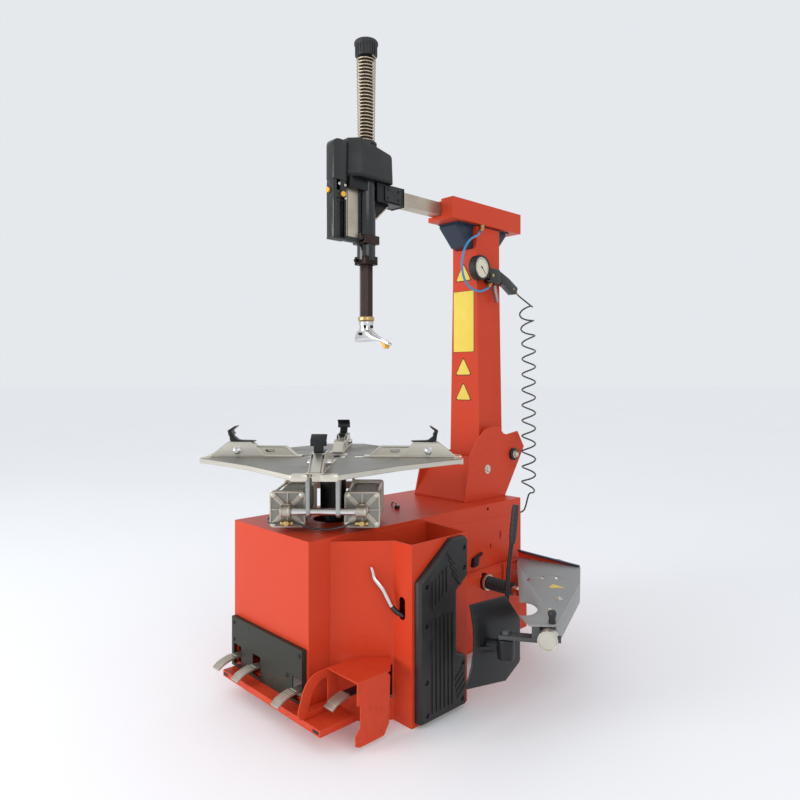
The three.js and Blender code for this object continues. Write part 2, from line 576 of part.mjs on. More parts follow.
// In the group's own frame the arm runs from its pivot at the origin towards -Y.
function breakerArm() {
  const { top } = BREAKER;
  const outline = [[-78, 24], [60, 30], [130, -50], [122, -235], [52, -606], [-20, -618], [-78, -60]];
  const deck = prism('z', outline, top - 4, top);
  const hand = cut(deck, prism('z', notch(), top - 10, top + 10));
  const sideWall = prism('z', [[125, -50], [130, -50], [122, -235], [52, -606], [47, -606], [117, -235]],
    top - 58, top - 1);
  const tail = prism('z', [[125, -50], [130, -50], [60, 30], [55, 30]], top - 40, top - 1);
  const tubeEnd = rod([30, -634, 268], [30, -430, 268], 26, 24);
  const saddle = box(8, 50, -600, -440, 276, top - 1);
  const pin = rod([0, 0, top - 100], [0, 0, top - 1], 12, 16);
  const [bladeX, bladeY] = BLADE.pivotOnArm;
  const ear = box(bladeX - 20, 10, bladeY - 18, bladeY + 18, 253, 264);
  const bladePin = rod([bladeX, bladeY, 190], [bladeX, bladeY, 254], 8, 12);
  return join(hand, sideWall, tail, tubeEnd, saddle, pin, ear, bladePin);
}

function notch() {
  const shape = new THREE.Shape();
  shape.absellipse(-38, -496, 40, 56, 0, 2 * Math.PI);
  return shape;
}

// Shovel blade, upright and facing the rubber pad, with the link that carries it.
function bladeSolid() {
  const { x, thick } = BLADE;
  const outline = new THREE.Shape();
  outline.moveTo(44, 346);
  outline.quadraticCurveTo(80, 250, 32, 152);
  outline.lineTo(30, 134);
  outline.lineTo(190, 106);
  outline.lineTo(256, 140);
  outline.lineTo(256, 262);
  outline.lineTo(190, 336);
  const plate = prism('x', outline, x, x + thick, 10);
  const [px, py] = BLADE.pivot;
  const link = rod([x + thick - 1, 112, 226], [px, py, 226], 18, 16);
  const boss = rod([px, py, 200], [px, py, 252], 22, 16);
  return cut(join(plate, link, boss), rod([px, py, 180], [px, py, 260], 8.4, 12));
}

function bladeHandle() {
  const { x } = BLADE;
  const bar = tube([[x - 8, 210, 236], [x - 8, 214, 290], [x - 8, 224, 400], [x - 4, 238, 500],
    [x, 244, 566]], 7, 8, 12);
  const grip = rod([x - 3, 233, 470], [x, 245, 576], 13, 12, 11);
  return join(bar, grip);
}

// ---------------------------------------------------------------- inflation gun and hoses
function gunGauge() {
  const { x, y, z } = GUN;
  return rod([x - 16, y, z], [x + 20, y, z], 45, 24);
}

function gunBody() {
  const { x } = GUN;
  const valve = box(x - 14, x + 14, 631, 690, 1270, 1326);
  const grip = prism('x', [[686, 1322], [800, 1268], [790, 1244], [772, 1240], [686, 1284]], x - 13, x + 13);
  const hanger = box(75 + GAP, x, 655, 675, 1296, 1312);
  const inlet = rod([x, 650, 1272], [x, 642, 1258], 8, 12);
  const outlet = rod([x, 790, 1258], [x, 812, 1247], 6, 12);
  return join(valve, grip, hanger, inlet, outlet);
}

function gunTrigger() {
  const { x } = GUN;
  return prism('x', [[664, 1267], [676, 1267], [684, 1236], [690, 1206], [682, 1204], [672, 1236]],
    x - 7, x + 7);
}

const hoseFitting = () => join(rod([84, 616, 1470], [84, 616, HEAD.bottom - GAP], 8, 6),
  rod([84, 617, 1472], [84, 605, 1458], 7, 8));
const hoseInlet = () => rod([INLET.x, CABINET.rear + GAP, INLET.z], [INLET.x, INLET.end, INLET.z], 8, 12);

// The curled hose hangs as one fat tube of its outer diameter with plain thin ends, in two
// stretches: the upper one leans back with the column, the lower one stays with the cabinet.
const coilUpper = () => join(
  tube([[120, 822, 1222], [136, 812, 1180], [150, 802, 1120], [COIL.x, COIL.y, 1040],
    [COIL.x, COIL.y, 900], [COIL.x, COIL.y, COIL.split + 18]], COIL.radius, 10, 16),
  tube([[GUN.x, 812.6, 1246.7], [98, 821, 1241], [106, 825, 1232], [121, 821, 1219]], 3, 8, 10));
const coilLower = () => join(
  tube([[COIL.x, COIL.y, COIL.split - 17], [COIL.x, COIL.y, 560], [154, 790, 470]], COIL.radius, 10, 8),
  tube([[154, 790, 474], [154, 786, 452], [152, 770, 435], [INLET.x, 750, INLET.z],
    [INLET.x, INLET.end + GAP, INLET.z]], 3, 8, 12));

// ---------------------------------------------------------------- assembly
add('base_frame', baseFrame(), RED);
add('cabinet_shell', cabinetShell(), RED);
add('side_sill', sideSill(), RED);
add('pedal_cover', pedalCover(), BLACK_STEEL);
add('side_housing', sideHousing(), RED);
add('wheel_pad', wheelPad(), RUBBER);
add('pedal_guard', pedalGuard(), RED);
add('tyre_lever', tyreLever(), CHROME);

['pedal_tilt', 'pedal_clamp', 'pedal_turn'].forEach((name, index) => {
  add(name, pedalArm(PEDAL_X[index], PEDAL), CAST_ALUMINIUM);
});
add('pedal_inflate', pedalArm(SIDE_PEDAL.x, SIDE_PEDAL), BLACK_STEEL);

add('column_bracket', columnBracket(), RED);
add('pivot_pin', pivotPin(), ZINC);
add('column_tube', columnTube(), RED);
add('column_head', columnHead(), RED);
add('head_gussets', headGussets(), NAVY);

add('arm_bar', armBar(), BRUSHED);
add('head_block', headBlock(), BLACK_STEEL);
add('top_cover', topCover(), BLACK_PLASTIC);
add('control_handle', controlHandle(), BLACK_PLASTIC);
lockButtons();
add('hex_shaft', hexShaft(), BLACK_STEEL);
add('shaft_cap', shaftCap(), BLACK_PLASTIC);
add('return_spring', returnSpring(), SPRING_WIRE);
add('mount_head', mountHead(), CHROME);

add('table_plate', tablePlate(), GREY_STEEL, table);
add('spindle_hub', spindleHub(), BLACK_STEEL, table);
const JAWS = { right: 0, rear: 90, left: 180, front: -90 };
for (const [side, degrees] of Object.entries(JAWS)) {
  const turn = new THREE.Group();
  turn.rotation.z = THREE.MathUtils.degToRad(degrees);
  table.add(turn);
  add(`jaw_slide_${side}`, jawSlide(), ZINC, turn);
  add(`jaw_claw_${side}`, jawClaw(), BLACK_STEEL, turn);
}
const underTable = new THREE.Group();
underTable.rotation.z = Math.PI;
table.add(underTable);
add('cross_shaft', crossShaft(), CHROME, underTable);
add('clamp_cylinder_left', clampCylinder(1), CAST_ALUMINIUM, underTable);
add('clamp_cylinder_right', clampCylinder(-1), CAST_ALUMINIUM, underTable);
add('rear_yoke', rearYoke(), ZINC, underTable);

add('gearbox', gearbox(), CAST_IRON);
add('electric_motor', electricMotor(), CAST_IRON);
add('drive_pulley', pulley(0, PULLEY.high, 55), CAST_IRON);
add('motor_pulley', pulley(PULLEY.motorX, PULLEY.low, 30), CAST_IRON);
add('drive_belt', driveBelt(), RUBBER);
add('breaker_cylinder', breakerCylinder(), GREY_STEEL);
add('breaker_rod', breakerRod(), BLACK_STEEL);
add('breaker_bracket', breakerBracket(), RED);
add('breaker_arm', breakerArm(), ZINC, breaker);
add('blade', bladeSolid(), BLACK_STEEL);
add('blade_handle', bladeHandle(), RUBBER);

add('gun_gauge', gunGauge(), RUBBER);
add('gun_body', gunBody(), BLACK_PLASTIC);
add('gun_trigger', gunTrigger(), CHROME);
add('hose_fitting', hoseFitting(), BRASS);
add('hose_inlet', hoseInlet(), BRASS);
add('air_hose', tube(AIR_HOSE, HOSE_RADIUS, 8, 40), BLUE);
add('coil_hose_upper', coilUpper(), RUBBER);
add('coil_hose_lower', coilLower(), RUBBER);

export default object;
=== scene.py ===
# %% [markdown]
# # A tilt-back tyre changer
# The CAD model is the skeleton of this machine: every tube, hinge and slide is already in its place,
# in metres, with the origin on the floor under the turntable. Loading it first means that each piece
# below can be put straight onto the body it moves with.

# %% Load the frame
import math

import bmesh
import bpy
import numpy as np
from mathutils import Matrix, Vector
from mathutils.geometry import tessellate_polygon


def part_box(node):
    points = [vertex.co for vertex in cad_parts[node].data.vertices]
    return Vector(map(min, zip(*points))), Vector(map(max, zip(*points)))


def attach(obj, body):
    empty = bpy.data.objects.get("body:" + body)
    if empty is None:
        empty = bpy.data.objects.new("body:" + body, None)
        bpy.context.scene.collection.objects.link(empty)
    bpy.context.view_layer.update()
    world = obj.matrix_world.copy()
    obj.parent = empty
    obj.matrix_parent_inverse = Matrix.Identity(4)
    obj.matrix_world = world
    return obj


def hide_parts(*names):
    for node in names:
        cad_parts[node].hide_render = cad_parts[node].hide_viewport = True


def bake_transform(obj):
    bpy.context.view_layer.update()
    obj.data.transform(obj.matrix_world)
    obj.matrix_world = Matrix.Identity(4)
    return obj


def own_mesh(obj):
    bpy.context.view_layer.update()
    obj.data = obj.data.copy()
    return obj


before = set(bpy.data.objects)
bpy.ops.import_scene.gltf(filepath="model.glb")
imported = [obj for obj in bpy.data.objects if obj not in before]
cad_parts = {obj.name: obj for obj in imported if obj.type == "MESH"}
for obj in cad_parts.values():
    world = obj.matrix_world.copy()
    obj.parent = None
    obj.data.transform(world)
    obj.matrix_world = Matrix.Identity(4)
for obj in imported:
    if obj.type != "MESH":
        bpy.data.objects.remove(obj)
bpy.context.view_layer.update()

# %% [markdown]
# The camera stands at the machine's front right corner, a little under a metre high and level, so
# that upright edges stay upright. A small downward shift, instead of a tilt, brings the base into view.

# %% Camera
camera_data = bpy.data.cameras.new("camera")
camera_data.lens, camera_data.sensor_width = 29.745, 36
camera_data.shift_y = -0.028
camera = bpy.data.objects.new("camera", camera_data)
camera.location = (1.608, -1.258, 0.929)
camera.rotation_euler = (math.pi / 2, 0, math.radians(46.2))
bpy.context.scene.collection.objects.link(camera)
bpy.context.scene.camera = camera
bpy.context.scene.view_settings.view_transform = "Standard"
print("camera at", tuple(camera.location))

# %% [markdown]
# A finish is a tree of nodes. To write its sums as plain Python, one small class wraps a socket and
# turns + - * / and ** into Math nodes, also when the number comes first, as in 1 - mask. Every other
# node comes from one method, which takes the node's type, its settings and what goes into its sockets.

# %% Shader sums
class Wire:
    """An output socket whose arithmetic adds Math nodes to its tree."""

    def __init__(self, finish, socket):
        self.finish, self.socket = finish, socket

    def sum(self, operation, a, b):
        return self.finish.node("ShaderNodeMath", {"operation": operation}, {0: a, 1: b})

    def __add__(self, other):
        return self.sum("ADD", self, other)

    def __sub__(self, other):
        return self.sum("SUBTRACT", self, other)

    def __rsub__(self, other):
        return self.sum("SUBTRACT", other, self)

    def __mul__(self, other):
        return self.sum("MULTIPLY", self, other)

    def __truediv__(self, other):
        return self.sum("DIVIDE", self, other)

    def __pow__(self, other):
        return self.sum("POWER", self, other)

    __radd__, __rmul__ = __add__, __mul__


def srgb(red, green, blue):
    """A colour as seen, 0 to 255, as the linear colour that a shader takes."""
    return tuple(((c / 255 + 0.055) / 1.055) ** 2.4 if c > 10 else c / 3294.6
                 for c in (red, green, blue)) + (1.0,)


print("a mid grey is", round(srgb(128, 128, 128)[0], 3), "in linear light")

# %% [markdown]
# All the finishes share a few patterns: slow clouds of colour, a fine skin, stretched brush marks, and
# a painted highlight on the line where paint or metal rounds an edge. The Bevel node finds that line on any
# mesh, by comparing the rounded normal with the flat one, and it also softens the edges of the CAD pieces.

# %% The finish class
class Finish:
    """One material: its tree, its shader and the patterns that the finishes share."""

    def __init__(self, name, edge=0.0015, **fixed):
        self.material = bpy.data.materials.new(name)
        self.material.use_nodes = True
        self.tree = self.material.node_tree
        self.shader = self.tree.nodes["Principled BSDF"]
        for socket, value in fixed.items():
            self.shader.inputs[socket.replace("_", " ")].default_value = value
        self.place = self.node("ShaderNodeTexCoord", {}, {}, "Object")
        self.rounded = self.node("ShaderNodeBevel", {"samples": 4}, {"Radius": edge})

    def node(self, kind, settings, sockets, out=0):
        made = self.tree.nodes.new(kind)
        for key, value in settings.items():
            if key == "stops":
                for stop, (position, colour) in zip(made.color_ramp.elements, value):
                    stop.position, stop.color = position, colour
            else:
                setattr(made, key, value)
        for key, value in sockets.items():
            if isinstance(value, Wire):
                self.tree.links.new(value.socket, made.inputs[key])
            else:
                made.inputs[key].default_value = value
        return Wire(self, made.outputs[out])

    def stretched(self, x, y, z, turn=(0, 0, 0)):
        return self.node("ShaderNodeMapping", {}, {
            "Vector": self.place, "Scale": (x, y, z), "Rotation": turn})

    def noise(self, scale, detail=2.0, where=None):
        return self.node("ShaderNodeTexNoise", {}, {
            "Vector": where or self.place, "Scale": scale, "Detail": detail})

    def step(self, value, low, high):
        """0 below low, 1 above high, smooth between."""
        return self.node("ShaderNodeMapRange", {"interpolation_type": "SMOOTHSTEP"},
                         {"Value": value, "From Min": low, "From Max": high})

    # The rounded edges as a mask; the finishes paint a highlight on them.
    def edges(self, low=0.02, high=0.2):
        flat = self.node("ShaderNodeNewGeometry", {}, {}, "Normal")
        same = self.node("ShaderNodeVectorMath", {"operation": "DOT_PRODUCT"},
                         {0: self.rounded, 1: flat}, "Value")
        return self.step(1 - same, low, high)

    def height(self):
        return self.node("ShaderNodeSeparateXYZ", {}, {"Vector": self.place}, "Z")

    def mix(self, factor, a, b):
        return self.node("ShaderNodeMix", {"data_type": "RGBA"}, {0: factor, 6: a, 7: b}, 2)

    def finish(self, colour, roughness, relief=None, depth=0.0001, strength=1.0):
        """Joins the patterns to the shader and gives the material."""
        normal = self.rounded
        if relief is not None:
            normal = self.node("ShaderNodeBump", {}, {
                "Height": relief, "Distance": depth, "Strength": strength, "Normal": self.rounded})
        for socket, value in (("Base Color", colour), ("Roughness", roughness), ("Normal", normal)):
            if isinstance(value, Wire):
                self.tree.links.new(value.socket, self.shader.inputs[socket])
            else:
                self.shader.inputs[socket].default_value = value
        return self.material


print("finish class ready")

# %% [markdown]
# Painted sheet steel is smooth but never perfect. The powder coat has a faint orange peel, it gets a
# painted highlight where it wraps an edge, it is chipped and dusty near the floor, and its gloss drifts a
# little.

# %% Painted finishes
def painted(name, colour, light, dirt, roughness=0.38, edge_highlight=0.5, grime=0.4, shine=0.3):
    f = Finish(name, edge=0.002, Coat_Roughness=0.2, Coat_Weight=0.06, Specular_IOR_Level=shine)
    clouds = f.noise(3.5, 3.0)
    scuffs = f.step(f.noise(9.0, 4.0, f.stretched(1, 1, 9)), 0.64, 0.74)
    dust = f.step(f.noise(38.0, 4.0), 0.45, 0.75) * f.step(0.34 - f.height(), 0.0, 0.34)
    body = f.mix(clouds * 0.16, colour, light)
    body = f.mix(scuffs * 0.10, body, dirt)
    body = f.mix(dust * grime, body, dirt)
    # Painted highlight: the rounded edges are mixed towards the lighter colour.
    body = f.mix(f.edges() * edge_highlight, body, light)
    gloss = roughness - 0.05 + clouds * 0.1 + dust * 0.25 + scuffs * 0.08
    return f.finish(body, gloss, f.noise(650.0, 1.0), 0.00006, 0.5)


red_paint = painted("red_paint", srgb(198, 58, 30), srgb(240, 110, 72), srgb(116, 40, 26), grime=0.2,
                    shine=0.16)
cover_paint = painted("black_green_paint", srgb(33, 36, 30), srgb(70, 72, 58), srgb(104, 78, 52),
                      roughness=0.5, edge_highlight=0.35, grime=0.2)
black_paint = painted("black_paint", srgb(17, 18, 19), srgb(52, 54, 56), srgb(66, 61, 55), edge_highlight=0.3)
navy_paint = painted("navy_paint", srgb(34, 46, 62), srgb(70, 92, 116), srgb(20, 24, 30), edge_highlight=0.3)
grey_paint = painted("grey_paint", srgb(126, 128, 129), srgb(206, 200, 184), srgb(70, 68, 64), edge_highlight=0.8)
cream_paint = painted("cream_paint", srgb(214, 206, 184), srgb(236, 230, 214), srgb(128, 112, 92))
print("painted:", [m.name for m in (red_paint, cover_paint, black_paint, navy_paint, cream_paint)])

# %% [markdown]
# Bare metal shows how it was worked. A brushed bar has fine lines along its length, a casting has a
# grainy skin with dark pores, and zinc plating is bright and cloudy with brownish stains.

# %% Metal finishes
def metal(name, colour, dark, roughness=0.35, brushed=None, grain=0.0, stain=0.25, bright=0.5,
          metallic=1.0):
    f = Finish(name, edge=0.0012, Metallic=metallic)
    clouds = f.noise(14.0, 4.0)
    stains = f.step(f.noise(6.0, 5.0), 0.5, 0.72)
    lines = f.noise(1.0, 2.0, f.stretched(*brushed)) if brushed else f.noise(420.0, 3.0)
    tone = f.mix(stains * stain + (1 - clouds) * 0.15, colour, dark)
    tone = f.mix(lines * 0.35, tone, dark)
    light = tuple(min(1.0, c * 1.25 + 0.06) for c in colour[:3]) + (1.0,)
    # Painted highlight: the rounded edges are mixed towards a lighter copy of the colour, as much as bright
    # asks.
    tone = f.mix(f.edges() * bright, tone, light)
    rough = roughness - 0.06 + clouds * 0.08 + stains * 0.12 + lines * 0.06
    return f.finish(tone, rough, lines, 0.00004 + grain * 0.0003, 0.35 + grain)


zinc = metal("zinc_plate", srgb(226, 222, 210), srgb(146, 128, 104), 0.33)
steel_sheet = metal("galvanised_sheet", srgb(178, 180, 178), srgb(112, 112, 108), 0.42, grain=0.15)
table_steel = metal("table_steel", srgb(150, 147, 140), srgb(96, 92, 86), 0.42, brushed=(30, 30, 900))
table_rim = metal("table_rim", srgb(222, 218, 206), srgb(140, 132, 120), 0.36)
bar_steel = metal("arm_steel", srgb(206, 196, 178), srgb(128, 116, 98), 0.34, brushed=(900, 12, 900),
                  bright=0.7)
shaft_steel = metal("shaft_steel", srgb(78, 66, 62), srgb(24, 20, 20), 0.34, brushed=(500, 500, 14),
                    stain=0.9, bright=0.9)
cast_metal = metal("cast_aluminium", srgb(196, 188, 176), srgb(126, 112, 98), 0.48, grain=0.5)
chrome = metal("chrome", srgb(226, 226, 226), srgb(150, 148, 144), 0.14, stain=0.1)
brass = metal("brass", srgb(206, 178, 122), srgb(128, 96, 56), 0.3)
iron = metal("cast_iron", srgb(92, 94, 94), srgb(46, 46, 46), 0.6, grain=0.9, metallic=0.7)
wire = metal("spring_wire", srgb(216, 202, 174), srgb(150, 124, 86), 0.34, stain=0.4, metallic=0.8)
print("metals:", sum(m.name in bpy.data.materials for m in (zinc, chrome, brass, iron, wire)))

# %% [markdown]
# Plastics and rubber are the quiet surfaces: a moulded hood has a fine leather-like grain, a handle
# cover is polished, and rubber is dull, dusty and a little uneven.

# %% Plastics and rubber
def moulded(name, colour, light, roughness, grain=0.3, scale=420.0, coat=0.0, dust=0.2):
    f = Finish(name, edge=0.0012, Coat_Weight=coat, Coat_Roughness=0.08)
    clouds = f.noise(11.0, 3.0)
    haze = f.step(f.noise(24.0, 5.0), 0.42, 0.8)
    skin = f.noise(scale, 2.0)
    tone = f.mix(haze * dust + skin * 0.08, colour, light)
    # Painted highlight: the rounded edges are mixed towards the lighter colour.
    tone = f.mix(f.edges() * 0.35, tone, light)
    rough = roughness - 0.05 + clouds * 0.1 + haze * 0.1
    return f.finish(tone, rough, skin, 0.0002, grain)


rubber = moulded("rubber", srgb(20, 20, 21), srgb(84, 83, 80), 0.5, 0.5, 300.0, dust=0.14)
matte_plastic = moulded("matte_plastic", srgb(27, 27, 28), srgb(78, 78, 80), 0.5, 0.4, 600.0)
black_plastic = moulded("black_plastic", srgb(9, 9, 10), srgb(46, 46, 48), 0.2, 0.06, 500.0, 0.25, 0.06)
yellow_plastic = moulded("yellow_plastic", srgb(236, 176, 44), srgb(250, 214, 120), 0.4, 0.2)
blue_tube = moulded("blue_hose", srgb(0, 128, 186), srgb(90, 184, 226), 0.3, 0.1, 300.0, 0.3, 0.2)
black_tube = moulded("curled_hose", srgb(34, 36, 38), srgb(110, 112, 114), 0.35, 0.1, 300.0, 0.3, 0.2)
label_plastic = moulded("label", srgb(226, 196, 60), srgb(244, 226, 130), 0.45, 0.05, 400.0)
print("plastics ready")

# %% [markdown]
# The pieces are made as meshes in code. A few helpers do the shapes a workshop makes: a plate cut from
# sheet, a block, a turned part, and a bent tube. Each adds a closed solid to one mesh, and a last helper
# rounds the edges, turns the faces outwards and puts the piece on its body.

# %% Workshop helpers
STAND = {"x": lambda u, v, d: (d, u, v), "y": lambda u, v, d: (u, d, v), "z": lambda u, v, d: (u, v, d)}


def plate(bm, axis, outline, low, high, holes=()):
    """A flat plate: an outline (u, v) from one place on an axis to another, with holes through it."""
    stand, loops = STAND[axis], [list(outline), *map(list, holes)]
    rings = [[[bm.verts.new(stand(u, v, d)) for u, v in loop] for loop in loops] for d in (low, high)]
    for ring in rings:
        if holes:
            flat = [v for loop in ring for v in loop]
            flats = [[Vector((u, v, 0)) for u, v in loop] for loop in loops]
            for corners in tessellate_polygon(flats):
                bm.faces.new([flat[i] for i in corners])
        else:
            bm.faces.new(ring[0])
    for near, far in zip(*rings):
        for i in range(len(near)):
            bm.faces.new((near[i], near[i - 1], far[i - 1], far[i]))


def block(bm, x0, x1, y0, y1, z0, z1):
    plate(bm, "z", [(x0, y0), (x1, y0), (x1, y1), (x0, y1)], z0, z1)


def turned(bm, profile, at=(0, 0, 0), along=(0, 0, 1), sides=32):
    """A turned part: (radius, height) points from axis to axis, or a closed ring off the axis."""
    turn = Vector((0, 0, 1)).rotation_difference(Vector(along)).to_matrix()
    rings = []
    for radius, height in profile:
        count = 1 if radius < 1e-6 else sides
        rings.append([bm.verts.new(Vector(at) + turn @ Vector((
            radius * math.cos(math.tau * i / sides), radius * math.sin(math.tau * i / sides), height)))
            for i in range(count)])
    pairs = list(zip(rings, rings[1:]))
    if len(rings[0]) > 1:
        pairs.append((rings[-1], rings[0]))
    for a, b in pairs:
        for i in range(sides):
            ends = {a[i % len(a)]: 0, a[(i + 1) % len(a)]: 0, b[(i + 1) % len(b)]: 0, b[i % len(b)]: 0}
            bm.faces.new(list(ends))


def curve(points, steps=8):
    """A smooth line through the points."""
    p = [Vector(q) for q in points]
    p = [2 * p[0] - p[1], *p, 2 * p[-1] - p[-2]]
    line = []
    for i in range(1, len(p) - 2):
        for t in np.arange(steps) / steps:
            a, b, c, d = p[i - 1:i + 3]
            line.append(0.5 * (2 * b + (c - a) * t + (2 * a - 5 * b + 4 * c - d) * t * t
                               + (3 * b - a - 3 * c + d) * t ** 3))
    return line + [p[-2]]


def pipe(bm, line, radius, sides=12):
    """A round bar along a line; radius is a number or a list, one for each point."""
    line = [Vector(p) for p in line]
    radii = radius if isinstance(radius, (list, tuple)) else [radius] * len(line)
    side, rings = Vector((0.123, 0.456, 0.789)), []
    for i, point in enumerate(line):
        ahead = (line[min(i + 1, len(line) - 1)] - line[max(i - 1, 0)]).normalized()
        side = (side - ahead * side.dot(ahead)).normalized()
        across = ahead.cross(side)
        rings.append([bm.verts.new(point + radii[i] * (side * math.cos(math.tau * k / sides)
                                                      + across * math.sin(math.tau * k / sides)))
                      for k in range(sides)])
    for a, b in zip(rings, rings[1:]):
        for k in range(sides):
            bm.faces.new((a[k], a[k - 1], b[k - 1], b[k]))
    bm.faces.new(rings[0])
    bm.faces.new(rings[-1])


def rod(bm, a, b, radius, sides=24, chamfer=0.0):
    """A straight round bar from a to b, its ends chamfered."""
    a, b = Vector(a), Vector(b)
    length = (b - a).length
    c = min(chamfer, radius * 0.45)
    ends = [(radius - c, 0), (radius, c), (radius, length - c), (radius - c, length)]
    turned(bm, [(0, 0), *(ends if c else [(radius, 0), (radius, length)]), (0, length)],
           a, b - a, sides)


def walls(bm, rows):
    """Faces between rows of corners, each row joined to the next, and a cap on the first row."""
    for a, b in zip(rows, rows[1:]):
        for k in range(len(a)):
            bm.faces.new((a[k], a[k - 1], b[k - 1], b[k]))
    bm.faces.new(rows[0])


def merged(bm, shape, matrix):
    """Adds a placed copy of a shape to a mesh."""
    shape.transform(matrix)
    mesh = bpy.data.meshes.new("shape")
    shape.to_mesh(mesh)
    bm.from_mesh(mesh)


def rounded(points, radius, steps=5):
    """An outline whose corners are rounded; a corner may bring its own radius as a third number."""
    made = []
    for i, corner in enumerate(points):
        r = corner[2] if len(corner) > 2 else radius
        p, before, after = (Vector(q[:2]) for q in (corner, points[i - 1], points[(i + 1) % len(points)]))
        a, b = before - p, after - p
        if r <= 0:
            made.append(tuple(p))
            continue
        half = a.angle(b) / 2
        reach = min(r / math.tan(half), a.length * 0.48, b.length * 0.48)
        start, stop = p + a.normalized() * reach, p + b.normalized() * reach
        for t in np.arange(steps + 1) / steps:
            made.append(tuple((1 - t) ** 2 * start + 2 * t * (1 - t) * p + t * t * stop))
    return made


def ring(u, v, radius, count=24, stretch=1.0, turn=0.0):
    """A circle or oval outline."""
    c, s = math.cos(turn), math.sin(turn)
    flat = [(radius * math.cos(math.tau * i / count), radius * stretch * math.sin(math.tau * i / count))
            for i in range(count)]
    return [(u + a * c - b * s, v + a * s + b * c) for a, b in flat]


def piece(name, bm, material, body, replaces=(), edge=0.0, segments=2, smooth=40, place=None):
    """Finishes a mesh and puts it on its body. place is a matrix that carries it to the row frame."""
    if place is not None:
        bm.transform(place)
    bmesh.ops.remove_doubles(bm, verts=bm.verts, dist=1e-6)
    bmesh.ops.recalc_face_normals(bm, faces=bm.faces)
    if edge:
        sharp = [e for e in bm.edges if len(e.link_faces) == 2
                 and e.calc_face_angle(0) > math.radians(28)]
        bmesh.ops.bevel(bm, geom=sharp, offset=edge, segments=segments, profile=0.5,
                        affect="EDGES", clamp_overlap=True)
    for face in bm.faces:
        face.smooth = True
    for e in bm.edges:
        e.smooth = len(e.link_faces) == 2 and e.calc_face_angle(0) < math.radians(smooth)
    mesh = bpy.data.meshes.new(name)
    bm.to_mesh(mesh)
    bm.free()
    return on_body(name, mesh, material, body, replaces)


def on_body(name, mesh, material, body, replaces=()):
    mesh.materials.clear()
    mesh.materials.append(material)
    made = bpy.data.objects.new(name, mesh)
    bpy.context.scene.collection.objects.link(made)
    if replaces:
        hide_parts(*replaces)
    if isinstance(body, str):
        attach(made, body)
    print(f"{name}: {len(mesh.polygons)} faces on {body}")
    return made


print("helpers ready")

# %% [markdown]
# The hoses come first, because a free hose has a length of its own. The blue hose leaves its brass
# elbow under the head box, hangs in one loop beside the column and goes into the inflation gun.
# A hose of 8 mm is stiff, so its loop is wide. It is a tube along one smooth curve.

# %% The blue air hose
BLUE_ROUTE = [(0.084, 0.6036, 1.4565), (0.087, 0.586, 1.440), (0.092, 0.556, 1.428), (0.098, 0.526, 1.410),
              (0.103, 0.500, 1.384), (0.106, 0.484, 1.352), (0.107, 0.478, 1.318), (0.106, 0.486, 1.284),
              (0.103, 0.508, 1.258), (0.100, 0.540, 1.243), (0.097, 0.576, 1.238), (0.096, 0.606, 1.242),
              (0.096, 0.626, 1.250), (0.096, 0.639, 1.257)]


def route_length(line):
    return sum((b - a).length for a, b in zip(line, line[1:]))


blue_line = curve(BLUE_ROUTE, 6)
bm = bmesh.new()
pipe(bm, blue_line, 0.004, 14)
blue_hose = piece("blue_air_hose", bm, blue_tube, "column", ["air_hose"])
print("blue hose", round(route_length(blue_line), 3), "m")

# %% [markdown]
# The curled hose springs down from the gun to the cabinet. It is a helix of a dozen open turns with
# plain ends. Its upper turns lean back with the column and its last ones stay with the cabinet.

# %% The curled air hose
COIL_TURNS, COIL_RADIUS, HOSE_WIRE = 13, 0.0245, 0.003
COIL_AXIS = [(0.122, 0.821, 1.216), (0.136, 0.812, 1.180), (0.150, 0.802, 1.120), (0.160, 0.796, 1.040),
             (0.160, 0.796, 0.900), (0.160, 0.796, 0.672), (0.160, 0.796, 0.560), (0.155, 0.791, 0.476)]
LEAD = [(0.096, 0.8126, 1.2467), (0.099, 0.829, 1.236)]
TAIL = [(0.158, 0.772, 0.440), (0.150, 0.744, 0.4305), (0.150, 0.7285, 0.430)]


def curled(axis, turns, radius):
    """Points on a helix round a curved axis, 24 to a turn, its radius growing from and to nothing."""
    line = curve(axis, 24)
    places = np.cumsum([0] + [(b - a).length for a, b in zip(line, line[1:])])
    count, made = turns * 24, []
    side = Vector((-1, 0, 0))
    for i in range(count + 1):
        share = i / count
        k = min(int(np.searchsorted(places, share * places[-1])), len(line) - 1)
        j = max(k - 1, 0)
        part = 0 if k == j else (share * places[-1] - places[j]) / (places[k] - places[j])
        ahead = (line[min(k + 1, len(line) - 1)] - line[j]).normalized()
        side = (side - ahead * side.dot(ahead)).normalized()
        angle = math.tau * turns * share
        made.append(line[j].lerp(line[k], part) + radius * (
            side * math.cos(angle) + ahead.cross(side) * math.sin(angle)))
    return made


coil_line = curled(COIL_AXIS, COIL_TURNS, COIL_RADIUS)
hose_line = curve([*LEAD, *coil_line[9:-9:3], *TAIL], 3)
bm = bmesh.new()
pipe(bm, hose_line, HOSE_WIRE, 10)
curled_hose = piece("curled_air_hose", bm, black_tube, None,
                    ["coil_hose_upper", "coil_hose_lower"])
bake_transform(curled_hose)
print("curled hose", round(route_length(hose_line), 3), "m in", COIL_TURNS, "turns")

# %% [markdown]
# Bolts, studs, ribs and coils repeat, so Geometry Nodes make them. A small class builds such a tree:
# it gives the tree named inputs, adds nodes the way the finishes do, and ends with Realize Instances
# and Set Material. Growing a piece sets the inputs, evaluates once and keeps only the plain mesh.

